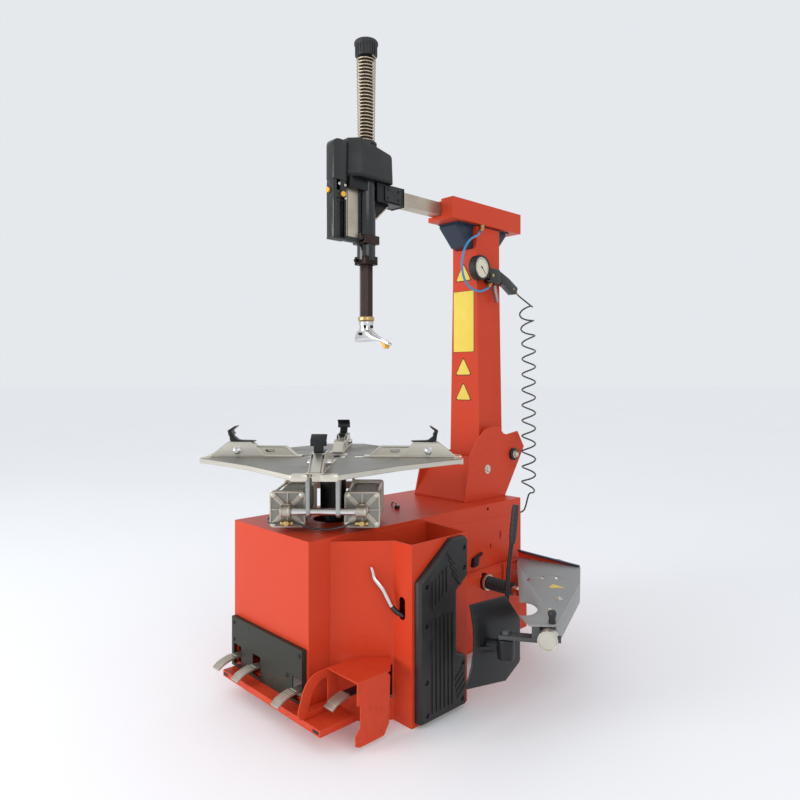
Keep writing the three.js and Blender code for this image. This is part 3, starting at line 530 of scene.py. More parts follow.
# %% Geometry Nodes recipes
class Recipe:
    """A Geometry Nodes tree with named inputs."""

    def __init__(self, name, **inputs):
        self.tree = bpy.data.node_groups.new(name, "GeometryNodeTree")
        face, self.keys = self.tree.interface, {}
        for way in ("INPUT", "OUTPUT"):
            face.new_socket("Geometry", in_out=way, socket_type="NodeSocketGeometry")
        for key, value in inputs.items():
            kind = {int: "Int", float: "Float", tuple: "Vector"}[type(value)]
            made = face.new_socket(key.replace("_", " "), in_out="INPUT", socket_type="NodeSocket" + kind)
            made.default_value = value
            self.keys[key] = made.identifier
        made = face.new_socket("Finish", in_out="INPUT", socket_type="NodeSocketMaterial")
        self.keys["Finish"] = made.identifier
        self.enter = self.tree.nodes.new("NodeGroupInput")

    def given(self, key):
        return self.enter.outputs[key]

    def node(self, kind, settings, sockets, out=0):
        made = self.tree.nodes.new(kind)
        for key, value in settings.items():
            setattr(made, key, value)
        for key, value in sockets.items():
            for one in value if isinstance(value, list) else [value]:
                if isinstance(one, bpy.types.NodeSocket):
                    self.tree.links.new(one, made.inputs[key])
                else:
                    made.inputs[key].default_value = one
        return made.outputs[out]

    def end(self, shape):
        real = self.node("GeometryNodeRealizeInstances", {}, {0: shape})
        done = self.node("GeometryNodeSetMaterial", {},
                         {"Geometry": real, "Material": self.given("Finish")})
        self.tree.links.new(done, self.tree.nodes.new("NodeGroupOutput").inputs[0])

    def grow(self, name, material, body, slot, base=None, place=None, replaces=(), **values):
        """Evaluates the tree on a base mesh and makes a piece of what it gives."""
        made = bpy.data.objects.new(name, base or bpy.data.meshes.new(name))
        bpy.context.scene.collection.objects.link(made)
        modifier = made.modifiers.new("recipe", "NODES")
        modifier.node_group = self.tree
        for key, value in {**values, "Finish": material}.items():
            modifier[self.keys[key]] = value
        bpy.context.view_layer.update()
        depsgraph = bpy.context.evaluated_depsgraph_get()
        mesh = bpy.data.meshes.new_from_object(made.evaluated_get(depsgraph))
        bpy.data.objects.remove(made)
        mesh.name = name
        if place is not None:
            mesh.transform(place)
        return on_body(name, mesh, material, body, replaces)


def dots(points, facing):
    """A mesh of loose points, each facing one way: facing is one direction or one for each point."""
    mesh = bpy.data.meshes.new("dots")
    mesh.from_pydata([tuple(p) for p in points], [], [])
    ways = facing if isinstance(facing, list) else [facing] * len(points)
    way = mesh.attributes.new("facing", "FLOAT_VECTOR", "POINT")
    way.data.foreach_set("vector", [c for w in ways for c in w])
    return mesh


print("recipe class ready")

# %% [markdown]
# A hexagon bolt is a washer, a six-sided head and its slightly narrower chamfered top. The recipe puts
# one on every point of a mesh of dots, turned to face the way that the dot says.

# %% Bolt recipe
bolt_recipe = Recipe("bolts", Head_radius=0.007, Head_height=0.005, Washer_radius=0.010, Sides=6)
bolt_facing = bolt_recipe.node("GeometryNodeInputNamedAttribute", {"data_type": "FLOAT_VECTOR"},
                               {"Name": "facing"})
bolt_turn = bolt_recipe.node("FunctionNodeAlignRotationToVector", {"axis": "Z"}, {"Vector": bolt_facing})
washer = bolt_recipe.node("GeometryNodeMeshCone", {}, {
    "Vertices": 24, "Radius Top": bolt_recipe.given("Washer radius"),
    "Radius Bottom": bolt_recipe.given("Washer radius"), "Depth": 0.0016})
head = bolt_recipe.node("GeometryNodeMeshCone", {}, {
    "Vertices": bolt_recipe.given("Sides"), "Radius Top": bolt_recipe.given("Head radius"),
    "Radius Bottom": bolt_recipe.given("Head radius"), "Depth": bolt_recipe.given("Head height")})
crown_width = bolt_recipe.node("ShaderNodeMath", {"operation": "MULTIPLY"},
                               {0: bolt_recipe.given("Head radius"), 1: 0.78})
crown_height = bolt_recipe.node("ShaderNodeMath", {"operation": "MULTIPLY"},
                                {0: bolt_recipe.given("Head height"), 1: 0.22})
crown = bolt_recipe.node("GeometryNodeMeshCone", {}, {
    "Vertices": bolt_recipe.given("Sides"), "Radius Top": crown_width,
    "Radius Bottom": bolt_recipe.given("Head radius"), "Depth": crown_height})
crown_place = bolt_recipe.node("ShaderNodeCombineXYZ", {}, {"Z": bolt_recipe.given("Head height")})
crown = bolt_recipe.node("GeometryNodeTransform", {}, {"Geometry": crown, "Translation": crown_place})
one_bolt = bolt_recipe.node("GeometryNodeJoinGeometry", {}, {0: [washer, head, crown]})
bolt_recipe.end(bolt_recipe.node("GeometryNodeInstanceOnPoints", {}, {
    "Points": bolt_recipe.given("Geometry"), "Instance": one_bolt, "Rotation": bolt_turn}))
print("bolt recipe ready")

# %% [markdown]
# Ribs, treads and knurls are small blocks set out on points. This recipe puts a block on each dot,
# turned by an angle round the way the dot faces. A second one sets blocks round a circle.

# %% Block recipes
block_recipe = Recipe("blocks", Block_size=(0.01, 0.01, 0.01), Turn=0.0)
block_facing = block_recipe.node("GeometryNodeInputNamedAttribute", {"data_type": "FLOAT_VECTOR"},
                                 {"Name": "facing"})
block_turn = block_recipe.node("FunctionNodeAlignRotationToVector", {"axis": "Z"},
                               {"Vector": block_facing})
own_turn = block_recipe.node("ShaderNodeCombineXYZ", {}, {"Z": block_recipe.given("Turn")})
own_turn = block_recipe.node("FunctionNodeEulerToRotation", {}, {0: own_turn})
block_turn = block_recipe.node("FunctionNodeRotateRotation", {"rotation_space": "LOCAL"},
                               {0: block_turn, 1: own_turn})
one_block = block_recipe.node("GeometryNodeMeshCube", {}, {"Size": block_recipe.given("Block size")})
block_recipe.end(block_recipe.node("GeometryNodeInstanceOnPoints", {}, {
    "Points": block_recipe.given("Geometry"), "Instance": one_block, "Rotation": block_turn}))

crown_recipe = Recipe("crown_of_blocks", Count=24, Radius=0.04, Block_size=(0.002, 0.003, 0.02))
rim = crown_recipe.node("GeometryNodeMeshCircle", {}, {
    "Vertices": crown_recipe.given("Count"), "Radius": crown_recipe.given("Radius")})
outward = crown_recipe.node("GeometryNodeInputPosition", {}, {})
rim_turn = crown_recipe.node("FunctionNodeAlignRotationToVector", {"axis": "X", "pivot_axis": "Z"},
                             {"Vector": outward})
rim_block = crown_recipe.node("GeometryNodeMeshCube", {}, {"Size": crown_recipe.given("Block size")})
crown_recipe.end(crown_recipe.node("GeometryNodeInstanceOnPoints", {}, {
    "Points": rim, "Instance": rim_block, "Rotation": rim_turn}))
print("block recipes ready")

# %% [markdown]
# A spring and any other wound wire is a spiral curve with a round section swept along it.

# %% Coil recipe
coil_recipe = Recipe("coil", Turns=20.0, Start_radius=0.03, End_radius=0.03, Height=0.2, Wire=0.002)
spiral = coil_recipe.node("GeometryNodeCurveSpiral", {}, {
    "Resolution": 24, "Rotations": coil_recipe.given("Turns"),
    "Start Radius": coil_recipe.given("Start radius"), "End Radius": coil_recipe.given("End radius"),
    "Height": coil_recipe.given("Height")})
section = coil_recipe.node("GeometryNodeCurvePrimitiveCircle", {}, {
    "Resolution": 8, "Radius": coil_recipe.given("Wire")})
coil_recipe.end(coil_recipe.node("GeometryNodeCurveToMesh", {}, {
    "Curve": spiral, "Profile Curve": section, "Fill Caps": True}))
print("coil recipe ready")

# %% [markdown]
# The sheet-metal body is already right in the CAD model, so its nodes keep their shape and only take
# a finish. Their rounded normals come from the finish itself.

# %% Finishes for the CAD pieces that stay
KEEP = {
    red_paint: "base_frame cabinet_shell side_sill side_housing pedal_guard column_bracket column_tube "
               "column_head breaker_bracket",
    iron: "gearbox electric_motor drive_pulley motor_pulley",
    rubber: "drive_belt pivot_pin",
    table_steel: "breaker_cylinder",
    cover_paint: "pedal_cover",
    zinc: "rear_yoke",
    navy_paint: "head_gussets",
    bar_steel: "arm_bar",
    shaft_steel: "hex_shaft",
    black_paint: "spindle_hub",
    yellow_plastic: "lock_button_front lock_button_side",
    brass: "hose_fitting hose_inlet",
}
for material, names in KEEP.items():
    for name in names.split():
        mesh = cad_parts[name].data
        mesh.materials.clear()
        mesh.materials.append(material)
print(sum(len(names.split()) for names in KEEP.values()), "CAD nodes refinished")

# %% [markdown]
# The body of the machine is folded sheet. A lower side panel overlaps the hood along a sloping seam,
# a clip sits beside the housing, two thin black plates on the front lip of the pan are painted shade for its
# two drain slots, and a loose air fitting pokes through the top. The far side and the back have screwed
# panels for service.

# %% Body details
SIDE = 0.189
bm = bmesh.new()
slots = [ring(y, z, half, 16, (reach + half) / half) for y, z, reach, half in
         ((0.585, 0.382, 0.012, 0.0042), (0.643, 0.390, 0.012, 0.0042), (0.532, 0.353, 0.005, 0.0042))]
plate(bm, "x", [(0.2135, 0.286), (0.7035, 0.286), (0.7035, 0.4452), (0.2135, 0.4577)],
      SIDE + 0.0002, SIDE + 0.0016, slots)
piece("side_panel", bm, red_paint, "root", edge=0.0005, segments=1)

bm = bmesh.new()
# Thin black plates: painted shade where the two drain slots are open.
for x in (-0.150, 0.290):
    plate(bm, "y", rounded([(x - 0.013, 0.0525), (x + 0.013, 0.0525), (x + 0.013, 0.0605),
                            (x - 0.013, 0.0605)], 0.004), -0.2824, -0.2816)
piece("drain_slot_shade", bm, black_paint, "root")

bm = bmesh.new()
plate(bm, "x", rounded([(0.424, 0.300), (0.452, 0.304), (0.456, 0.330), (0.430, 0.330)], 0.004),
      0.1908, 0.203)
plate(bm, "x", rounded([(0.440, 0.322), (0.478, 0.336), (0.476, 0.344), (0.436, 0.332)], 0.002),
      0.194, 0.201)
rod(bm, (0.20, 0.436, 0.315), (0.207, 0.436, 0.315), 0.006, 16, 0.001)
piece("side_clip", bm, black_paint, "root", edge=0.0008)

bm = bmesh.new()
rod(bm, (0.030, 0.242, 0.4972), (0.030, 0.242, 0.5090), 0.009, 18, 0.002)
pipe(bm, curve([(0.030, 0.242, 0.506), (0.012, 0.252, 0.5115), (-0.018, 0.268, 0.5100),
                (-0.034, 0.278, 0.4985)], 6), 0.0025, 8)
piece("top_air_nipple", bm, black_plastic, "root")

bm = bmesh.new()
plate(bm, "x", rounded([(-0.19, 0.10), (0.64, 0.10), (0.64, 0.45), (-0.19, 0.45)], 0.012),
      -SIDE - 0.0018, -SIDE - 0.0003)
plate(bm, "y", rounded([(-0.150, 0.10), (0.125, 0.10), (0.125, 0.40), (-0.150, 0.40)], 0.012),
      0.7043, 0.7058)
piece("service_panels", bm, red_paint, "root", edge=0.0006, segments=1)

panel_screws = [(-SIDE - 0.0018, y, z) for y in (-0.17, 0.03, 0.23, 0.43, 0.62) for z in (0.12, 0.43)]
rear_screws = [(x, 0.7058, z) for x in (-0.135, 0.11) for z in (0.12, 0.25, 0.38)]
bolt_recipe.grow("panel_screws", zinc, "root", "zinc_plate", dots(
    panel_screws + rear_screws, [(-1, 0, 0)] * len(panel_screws) + [(0, 1, 0)] * len(rear_screws)),
    Head_radius=0.0045, Head_height=0.003, Washer_radius=0.007)

block_recipe.grow("cooling_louvres", red_paint, "root", "red_paint", dots(
    [(-SIDE - 0.0026, 0.46 + 0.16 * (i // 9 - 0.5), 0.20 + 0.018 * (i % 9)) for i in range(18)],
    (-1, 0, 0)), Block_size=(0.005, 0.11, 0.003))

# %% [markdown]
# The cover over the front pedals is bolted on at its rim. Its right edge has worn to a rusty, dusty band
# from shoes, and one small slot is punched near the top.

# %% Pedal cover details
bm = bmesh.new()
# A thin black plate: painted shade for the small punched slot.
plate(bm, "y", rounded([(-0.089, 0.186), (-0.086, 0.186), (-0.086, 0.203), (-0.089, 0.203)], 0.001),
      -0.2456, -0.2446)
piece("cover_slot_shade", bm, black_plastic, "root")
bolt_recipe.grow("cover_screws", black_paint, "root", "black_paint", dots(
    [(-0.168, -0.2448, 0.195), (0.168, -0.2448, 0.195), (-0.168, -0.2448, 0.145),
     (0.112, -0.2448, 0.128)], (0, -1, 0)), Head_radius=0.004, Head_height=0.0025, Washer_radius=0.006)

# %% [markdown]
# The three foot pedals are castings. Seen from the side each is a tongue that bows downwards to its
# tip; its tread is a grid of small studs with a smooth lip in front. The tongue is a row of sections
# along one curve, thick in the middle and thin at the edges, and the studs ride on its top.

# %% Foot pedals
def tongue(pivot_y, pivot_z, tip_y):
    """Middle line of a pedal in the (y, z) plane, from inside the cabinet to its tip."""
    reach = pivot_y - tip_y
    return curve([(0, pivot_y + 0.004, pivot_z), (0, pivot_y - 0.35 * reach, pivot_z - 0.002),
                  (0, pivot_y - 0.62 * reach, pivot_z - 0.0015), (0, pivot_y - 0.84 * reach, pivot_z - 0.009),
                  (0, tip_y + 0.002, pivot_z - 0.021)], 6)


def foot_pedal(name, x, pivot_y, pivot_z, tip_y, width, tread_finish, arm_finish, body, slot, node):
    line = tongue(pivot_y, pivot_z, tip_y)
    tread_from = int(len(line) * 0.45)
    for part, points, finish in (("tread", line[tread_from:], tread_finish),
                                 ("arm", line[:tread_from + 1], arm_finish)):
        bm = bmesh.new()
        half = width / 2 if part == "tread" else width * 0.40
        rows = []
        for i, p in enumerate(points):
            ahead = (points[min(i + 1, len(points) - 1)] - points[max(i - 1, 0)]).normalized()
            up = Vector((1, 0, 0)).cross(ahead)
            up = up if up.z > 0 else -up
            thin = 0.0042 if part == "tread" else 0.006
            section = [(-half, -0.4), (-half, 0.7), (-half + 0.003, 1), (half - 0.003, 1), (half, 0.7),
                       (half, -0.4), (half * 0.55, -1), (-half * 0.55, -1)]
            rows.append([bm.verts.new(p + Vector((x + u, 0, 0)) + up * (thin * v)) for u, v in section])
        walls(bm, rows)
        bm.faces.new(rows[-1])
        if part == "arm":
            rod(bm, (x - width / 2, pivot_y, pivot_z), (x + width / 2, pivot_y, pivot_z), 0.0118, 20, 0.001)
        piece(f"{name}_{part}", bm, finish, body, [node] if part == "tread" else (), edge=0.0008)
    studs, ways = [], []
    for i in range(tread_from + 1, len(line) - 4):
        ahead = (line[i + 1] - line[i - 1]).normalized()
        up = Vector((1, 0, 0)).cross(ahead)
        up = up if up.z > 0 else -up
        for j in range(7):
            studs.append(line[i] + Vector((x + (j - 3) * width * 0.135, 0, 0)) + up * 0.0042)
            ways.append(tuple(up))
    stud_finish = zinc if tread_finish is cast_metal else tread_finish
    block_recipe.grow(f"{name}_studs", stud_finish, body, slot, dots(studs, ways),
                      Block_size=(width * 0.085, (line[-2] - line[-3]).length * 0.6, 0.0026))


for name, x in (("tilt", -0.147), ("clamp", -0.042), ("turn", 0.158)):
    foot_pedal(f"{name}_pedal", x, -0.176, 0.104, -0.318, 0.034, cast_metal, cast_metal,
               f"{name}_pedal", "cast_aluminium", f"pedal_{name}")
foot_pedal("inflate_pedal", 0.278, -0.092, 0.112, -0.236, 0.036, cast_metal, black_paint,
           "inflate_pedal", "cast_aluminium", "pedal_inflate")

# %% [markdown]
# The rubber pad is what the tyre leans on when its bead is broken. It is a thick moulding with a
# bevelled rim, a sunk border, slanting ribs in its upper wing and upright ribs below, and it is held
# by bolts at the bottom of round wells.

# %% Rubber wheel pad
PAD_BACK, PAD_FACE = 0.3703, 0.3943
pad_outline = [(-0.018, 0.014), (-0.010, 0.008), (0.164, 0.008), (0.170, 0.014), (0.170, 0.146),
               (0.128, 0.164), (0.128, 0.336), (0.176, 0.370), (0.176, 0.474), (0.168, 0.482),
               (0.112, 0.482), (-0.018, 0.386)]
wells = [(0.158, 0.452), (0.158, 0.396), (0.008, 0.372), (0.008, 0.268), (0.152, 0.130), (0.008, 0.118),
         (0.150, 0.030), (0.010, 0.030)]


def shrunk(outline, by):
    """An outline drawn in by the same width all round."""
    made, count = [], len(outline)
    for i in range(count):
        a, p, b = (Vector(outline[(i + k) % count]) for k in (-1, 0, 1))
        n, m = (Vector((-(q - o).y, (q - o).x)).normalized() for o, q in ((a, p), (p, b)))
        corner = (n + m) / max(0.4, 1 + n.dot(m))
        made.append(tuple(p + corner * by))
    return made


bm = bmesh.new()
layers = [(pad_outline, PAD_BACK), (pad_outline, PAD_FACE - 0.010),
          (shrunk(pad_outline, 0.005), PAD_FACE - 0.002), (shrunk(pad_outline, 0.008), PAD_FACE - 0.002)]
rows = [[bm.verts.new((x, y, z)) for y, z in outline] for outline, x in layers]
walls(bm, rows)
top_flat = [[(y, z) for y, z in layers[-1][0]], *(ring(y, z, 0.0065, 16) for y, z in wells)]
flat_rows = [rows[-1], *([bm.verts.new((PAD_FACE - 0.002, u, v)) for u, v in loop]
                         for loop in top_flat[1:])]
flat = [v for row in flat_rows for v in row]
for corners in tessellate_polygon([[Vector((u, v, 0)) for u, v in loop] for loop in top_flat]):
    bm.faces.new([flat[i] for i in corners])
for row in flat_rows[1:]:
    floor_row = [bm.verts.new(v.co - Vector((0.007, 0, 0))) for v in row]
    for k in range(len(row)):
        bm.faces.new((row[k], row[k - 1], floor_row[k - 1], floor_row[k]))
    bm.faces.new(floor_row)
piece("rubber_pad", bm, rubber, "root", ["wheel_pad"], edge=0.0006, segments=1, smooth=30)

bolt_recipe.grow("pad_bolts", black_paint, "root", "black_paint", dots(
    [(PAD_FACE - 0.008, y, z) for y, z in wells], (1, 0, 0)), Head_radius=0.0045, Head_height=0.003,
    Washer_radius=0.0058)

upright = [(PAD_FACE - 0.002, y, 0.155) for y in (0.030, 0.046, 0.062, 0.078, 0.094, 0.110)]
block_recipe.grow("pad_upright_ribs", rubber, "root", "rubber", dots(upright, (1, 0, 0)),
                  Block_size=(0.250, 0.0066, 0.0056))
raised = [(PAD_FACE - 0.002, 0.030 + 0.014 * i, 0.345 + 0.008 * i) for i in range(5)]
block_recipe.grow("pad_wing_ribs", rubber, "root", "rubber", dots(raised, (1, 0, 0)),
                  Block_size=(0.070, 0.0058, 0.0054))
slanting = [(PAD_FACE - 0.002, 0.104 + 0.007 * i, 0.432 - 0.020 * i) for i in range(4)]
block_recipe.grow("pad_slanting_ribs", rubber, "root", "rubber", dots(slanting, (1, 0, 0)), Turn=0.72,
                  Block_size=(0.050, 0.0058, 0.0054))
foot_ribs = [(PAD_FACE - 0.002, 0.134 + 0.004 * i, 0.104 - 0.017 * i) for i in range(4)]
block_recipe.grow("pad_foot_ribs", rubber, "root", "rubber", dots(foot_ribs, (1, 0, 0)), Turn=-0.9,
                  Block_size=(0.045, 0.0045, 0.0036))

# %% [markdown]
# The tyre lever is a forged crow bar. It is flat and bright at its upper tip, oval in the middle and
# black at its lower end, where it rests in the slot of the housing.

# %% Tyre lever
LEVER = curve([(0.272, -0.084, 0.420), (0.276, -0.081, 0.406), (0.280, -0.079, 0.390),
               (0.289, -0.072, 0.376), (0.298, -0.064, 0.360), (0.306, -0.056, 0.338),
               (0.314, -0.048, 0.316), (0.323, -0.041, 0.303), (0.330, -0.033, 0.296),
               (0.334, -0.025, 0.292), (0.335, -0.014, 0.288)], 6)
split = len(LEVER) // 2 + 6
for name, line, radii, finish in (
        ("lever_bright_end", LEVER[:split + 1], None, chrome),
        ("lever_black_end", LEVER[split:], 0.0068, black_plastic)):
    radii = radii or [0.0040 + 0.0028 * min(1.0, i / 18) for i in range(len(line))]
    bm = bmesh.new()
    pipe(bm, line, radii, 16)
    piece(name, bm, finish, "loose_lever", ["tyre_lever"] if finish is chrome else ())

# %% [markdown]
# The turntable is a heavy plate with four noses, one for each clamp, and a slot along every nose. Its
# rim is light where it was cut, and its top is darker and brushed, so it is a thick plate with a thin
# skin on top. It lies turned by 45 degrees, which a matrix does once, after the shape is drawn.

# %% Turntable plate
TABLE_TOP, NOSE, NOSE_HALF, SLOT_HALF, SHOULDER = 0.6875, 0.394, 0.060, 0.017, 0.215
QUARTER = math.pi / 4


def table_outline(inset):
    """The plate seen from above, going round its four noses, with an open slot in each."""
    made = []
    for quarter in range(4):
        c, s = round(math.cos(quarter * math.pi / 2)), round(math.sin(quarter * math.pi / 2))
        end, slot_end = NOSE - inset, 0.066
        half = SLOT_HALF + inset
        own = [(end, -NOSE_HALF + inset), (end, -half)]
        own += [(slot_end * math.cos(a), slot_end * math.sin(a)) for a in np.linspace(-0.27, 0.27, 5)]
        own += [(end, half), (end, NOSE_HALF - inset), (SHOULDER - inset, SHOULDER - inset)]
        made += [(u * c - v * s, u * s + v * c) for u, v in own]
    return made


turn_table = Matrix.Rotation(QUARTER, 4, "Z")
bm = bmesh.new()
plate(bm, "z", table_outline(0), TABLE_TOP - 0.014, TABLE_TOP - 0.0008)
for side in (-1, 1):
    for low, high in ((-0.23, -SLOT_HALF), (SLOT_HALF, 0.23)):
        block(bm, low, high, side * 0.040 - 0.004, side * 0.040 + 0.004, 0.6615, 0.6737)
        block(bm, side * 0.040 - 0.004, side * 0.040 + 0.004, low, high, 0.6615, 0.6737)
piece("table_rim", bm, table_rim, "turntable", ["table_plate"], 0.0012, place=turn_table)
bm = bmesh.new()
plate(bm, "z", table_outline(0.0016), TABLE_TOP - 0.001, TABLE_TOP)
piece("table_skin", bm, table_steel, "turntable", place=turn_table)
bm = bmesh.new()
for quarter in range(4):
    for side in (-1, 1):
        tip = bmesh.new()
        block(tip, NOSE - 0.026, NOSE + 0.0006, *sorted((side * (SLOT_HALF + 0.002), side * 0.0585)),
              TABLE_TOP - 0.0165, TABLE_TOP + 0.0004)
        merged(bm, tip, Matrix.Rotation(quarter * math.pi / 2, 4, "Z"))
piece("nose_blocks", bm, zinc, "turntable", edge=0.001, place=turn_table)
bolt_recipe.grow("hub_screws", zinc, "turntable", "zinc_plate", dots(
    [(0.050 * math.cos(a), 0.050 * math.sin(a), TABLE_TOP) for a in np.arange(4) * math.tau / 4],
    (0, 0, 1)), Head_radius=0.006, Head_height=0.004, Washer_radius=0.008)
bm = bmesh.new()
turned(bm, [(0, TABLE_TOP), (0.022, TABLE_TOP), (0.022, TABLE_TOP + 0.004), (0.010, TABLE_TOP + 0.006),
            (0, TABLE_TOP + 0.006)], sides=32)
piece("hub_cap", bm, black_plastic, "turntable", edge=0.0008)

# %% [markdown]
# Each clamp is a folded slide with sloping ends, a taller bracket near its outer end, a bolt with a
# knurled knob on both sides, and a black hooked claw that grips the rim of the wheel. One function
# draws the clamp along +X and a turn puts it on its nose.

# %% Clamps
JAW_FLOOR = TABLE_TOP + 0.0003


def jaw(side, degrees):
    body, turn = f"{side}_jaw", Matrix.Rotation(math.radians(45 + degrees), 4, "Z")
    z = JAW_FLOOR

    def side_plate(bm, outline, half, thick, holes=()):
        for sign in (-1, 1):
            plate(bm, "y", outline, *sorted((sign * half, sign * (half - thick))), holes)

    bm = bmesh.new()
    block(bm, 0.095, 0.386, -0.022, 0.022, z, z + 0.0028)
    body_side = [(0.110, z + 0.002), (0.372, z + 0.002), (0.330, z + 0.031), (0.146, z + 0.031)]
    window = rounded([(0.176, z + 0.013), (0.200, z + 0.013), (0.207, z + 0.018), (0.203, z + 0.022),
                      (0.176, z + 0.022)], 0.003)
    side_plate(bm, body_side, 0.016, 0.003, [window])
    block(bm, 0.146, 0.330, -0.016, 0.016, z + 0.028, z + 0.031)
    plate(bm, "y", [(0.110, z + 0.002), (0.116, z + 0.002), (0.150, z + 0.031), (0.144, z + 0.031)],
          -0.016, 0.016)
    block(bm, 0.150, 0.330, -0.015, 0.015, z - 0.027, z + 0.001)
    piece(f"{side}_slide", bm, zinc, body, [f"jaw_slide_{side}"], 0.0006, 1, place=turn)

    bm = bmesh.new()
    bracket = [(0.206, z + 0.003), (0.374, z + 0.003), (0.320, z + 0.045), (0.250, z + 0.045)]
    side_plate(bm, bracket, 0.019, 0.003)
    block(bm, 0.250, 0.320, -0.019, 0.019, z + 0.0415, z + 0.045)
    plate(bm, "y", [(0.374, z + 0.003), (0.320, z + 0.045), (0.316, z + 0.043), (0.369, z + 0.003)],
          -0.0125, 0.0125)
    plate(bm, "y", [(0.206, z + 0.003), (0.250, z + 0.045), (0.254, z + 0.043), (0.211, z + 0.003)],
          -0.0125, 0.0125)
    piece(f"{side}_bracket", bm, table_rim, body, (), 0.0006, 1, place=turn)

    bm = bmesh.new()
    for sign in (-1, 1):
        turned(bm, [(0, 0), (0.0130, 0), (0.0130, 0.002), (0.0100, 0.0024), (0.0100, 0.0085),
                    (0.0072, 0.0092), (0.0072, 0.0125), (0, 0.0125)],
               (0.292, sign * 0.019, z + 0.018), (0, sign, 0), 6)
    piece(f"{side}_bolts", bm, chrome, body, (), 0.0004, 1, place=turn)
    turn_knob = turn @ Matrix.Translation((0.292, 0, z + 0.018)) @ Matrix.Rotation(math.pi / 2, 4, "X")
    crown_recipe.grow(f"{side}_knurl", zinc, body, "zinc_plate", place=turn_knob, Count=16,
                      Radius=0.0098, Block_size=(0.0022, 0.0018, 0.0415))

    bm = bmesh.new()
    top = z + 0.0452
    plate(bm, "y", [(0.240, top), (0.314, top), (0.314, top + 0.005), (0.240, top + 0.003)], -0.0125, 0.0125)
    plate(bm, "y", [(0.276, top + 0.003), (0.292, top + 0.0055), (0.305, top + 0.016), (0.3165, top + 0.034),
                    (0.3205, top + 0.034), (0.3160, top + 0.002)], -0.0125, 0.0125)
    plate(bm, "y", [(0.3050, top + 0.022), (0.3115, top + 0.033), (0.2960, top + 0.0465),
                    (0.2985, top + 0.0485), (0.3215, top + 0.0345), (0.3175, top + 0.018)], -0.0210, 0.0210)
    piece(f"{side}_claw", bm, black_paint, body, [f"jaw_claw_{side}"], 0.0009, place=turn)


for side, degrees in (("right", 0), ("rear", 90), ("left", 180), ("front", -90)):
    jaw(side, degrees)

# %% [markdown]
# Two air cylinders under the table push the clamps. Each has a square die-cast cover with a raised
# rim, ribs that run out from its middle, a screw at every corner, and an eye on the cross shaft. The
# body behind is a smooth aluminium profile with four tie rods. Drawn along +Y, then turned by 225.

# %% Clamp cylinders
TURN_UNDER = Matrix.Rotation(math.radians(225), 4, "Z")
CYL_X, CYL_Z, CYL_FRONT, CYL_REAR, CYL_HALF = 0.104, 0.562, 0.195, -0.030, 0.050


def square(x, z, half, radius):
    return rounded([(x - half, z - half), (x + half, z - half), (x + half, z + half), (x - half, z + half)],
                   radius)


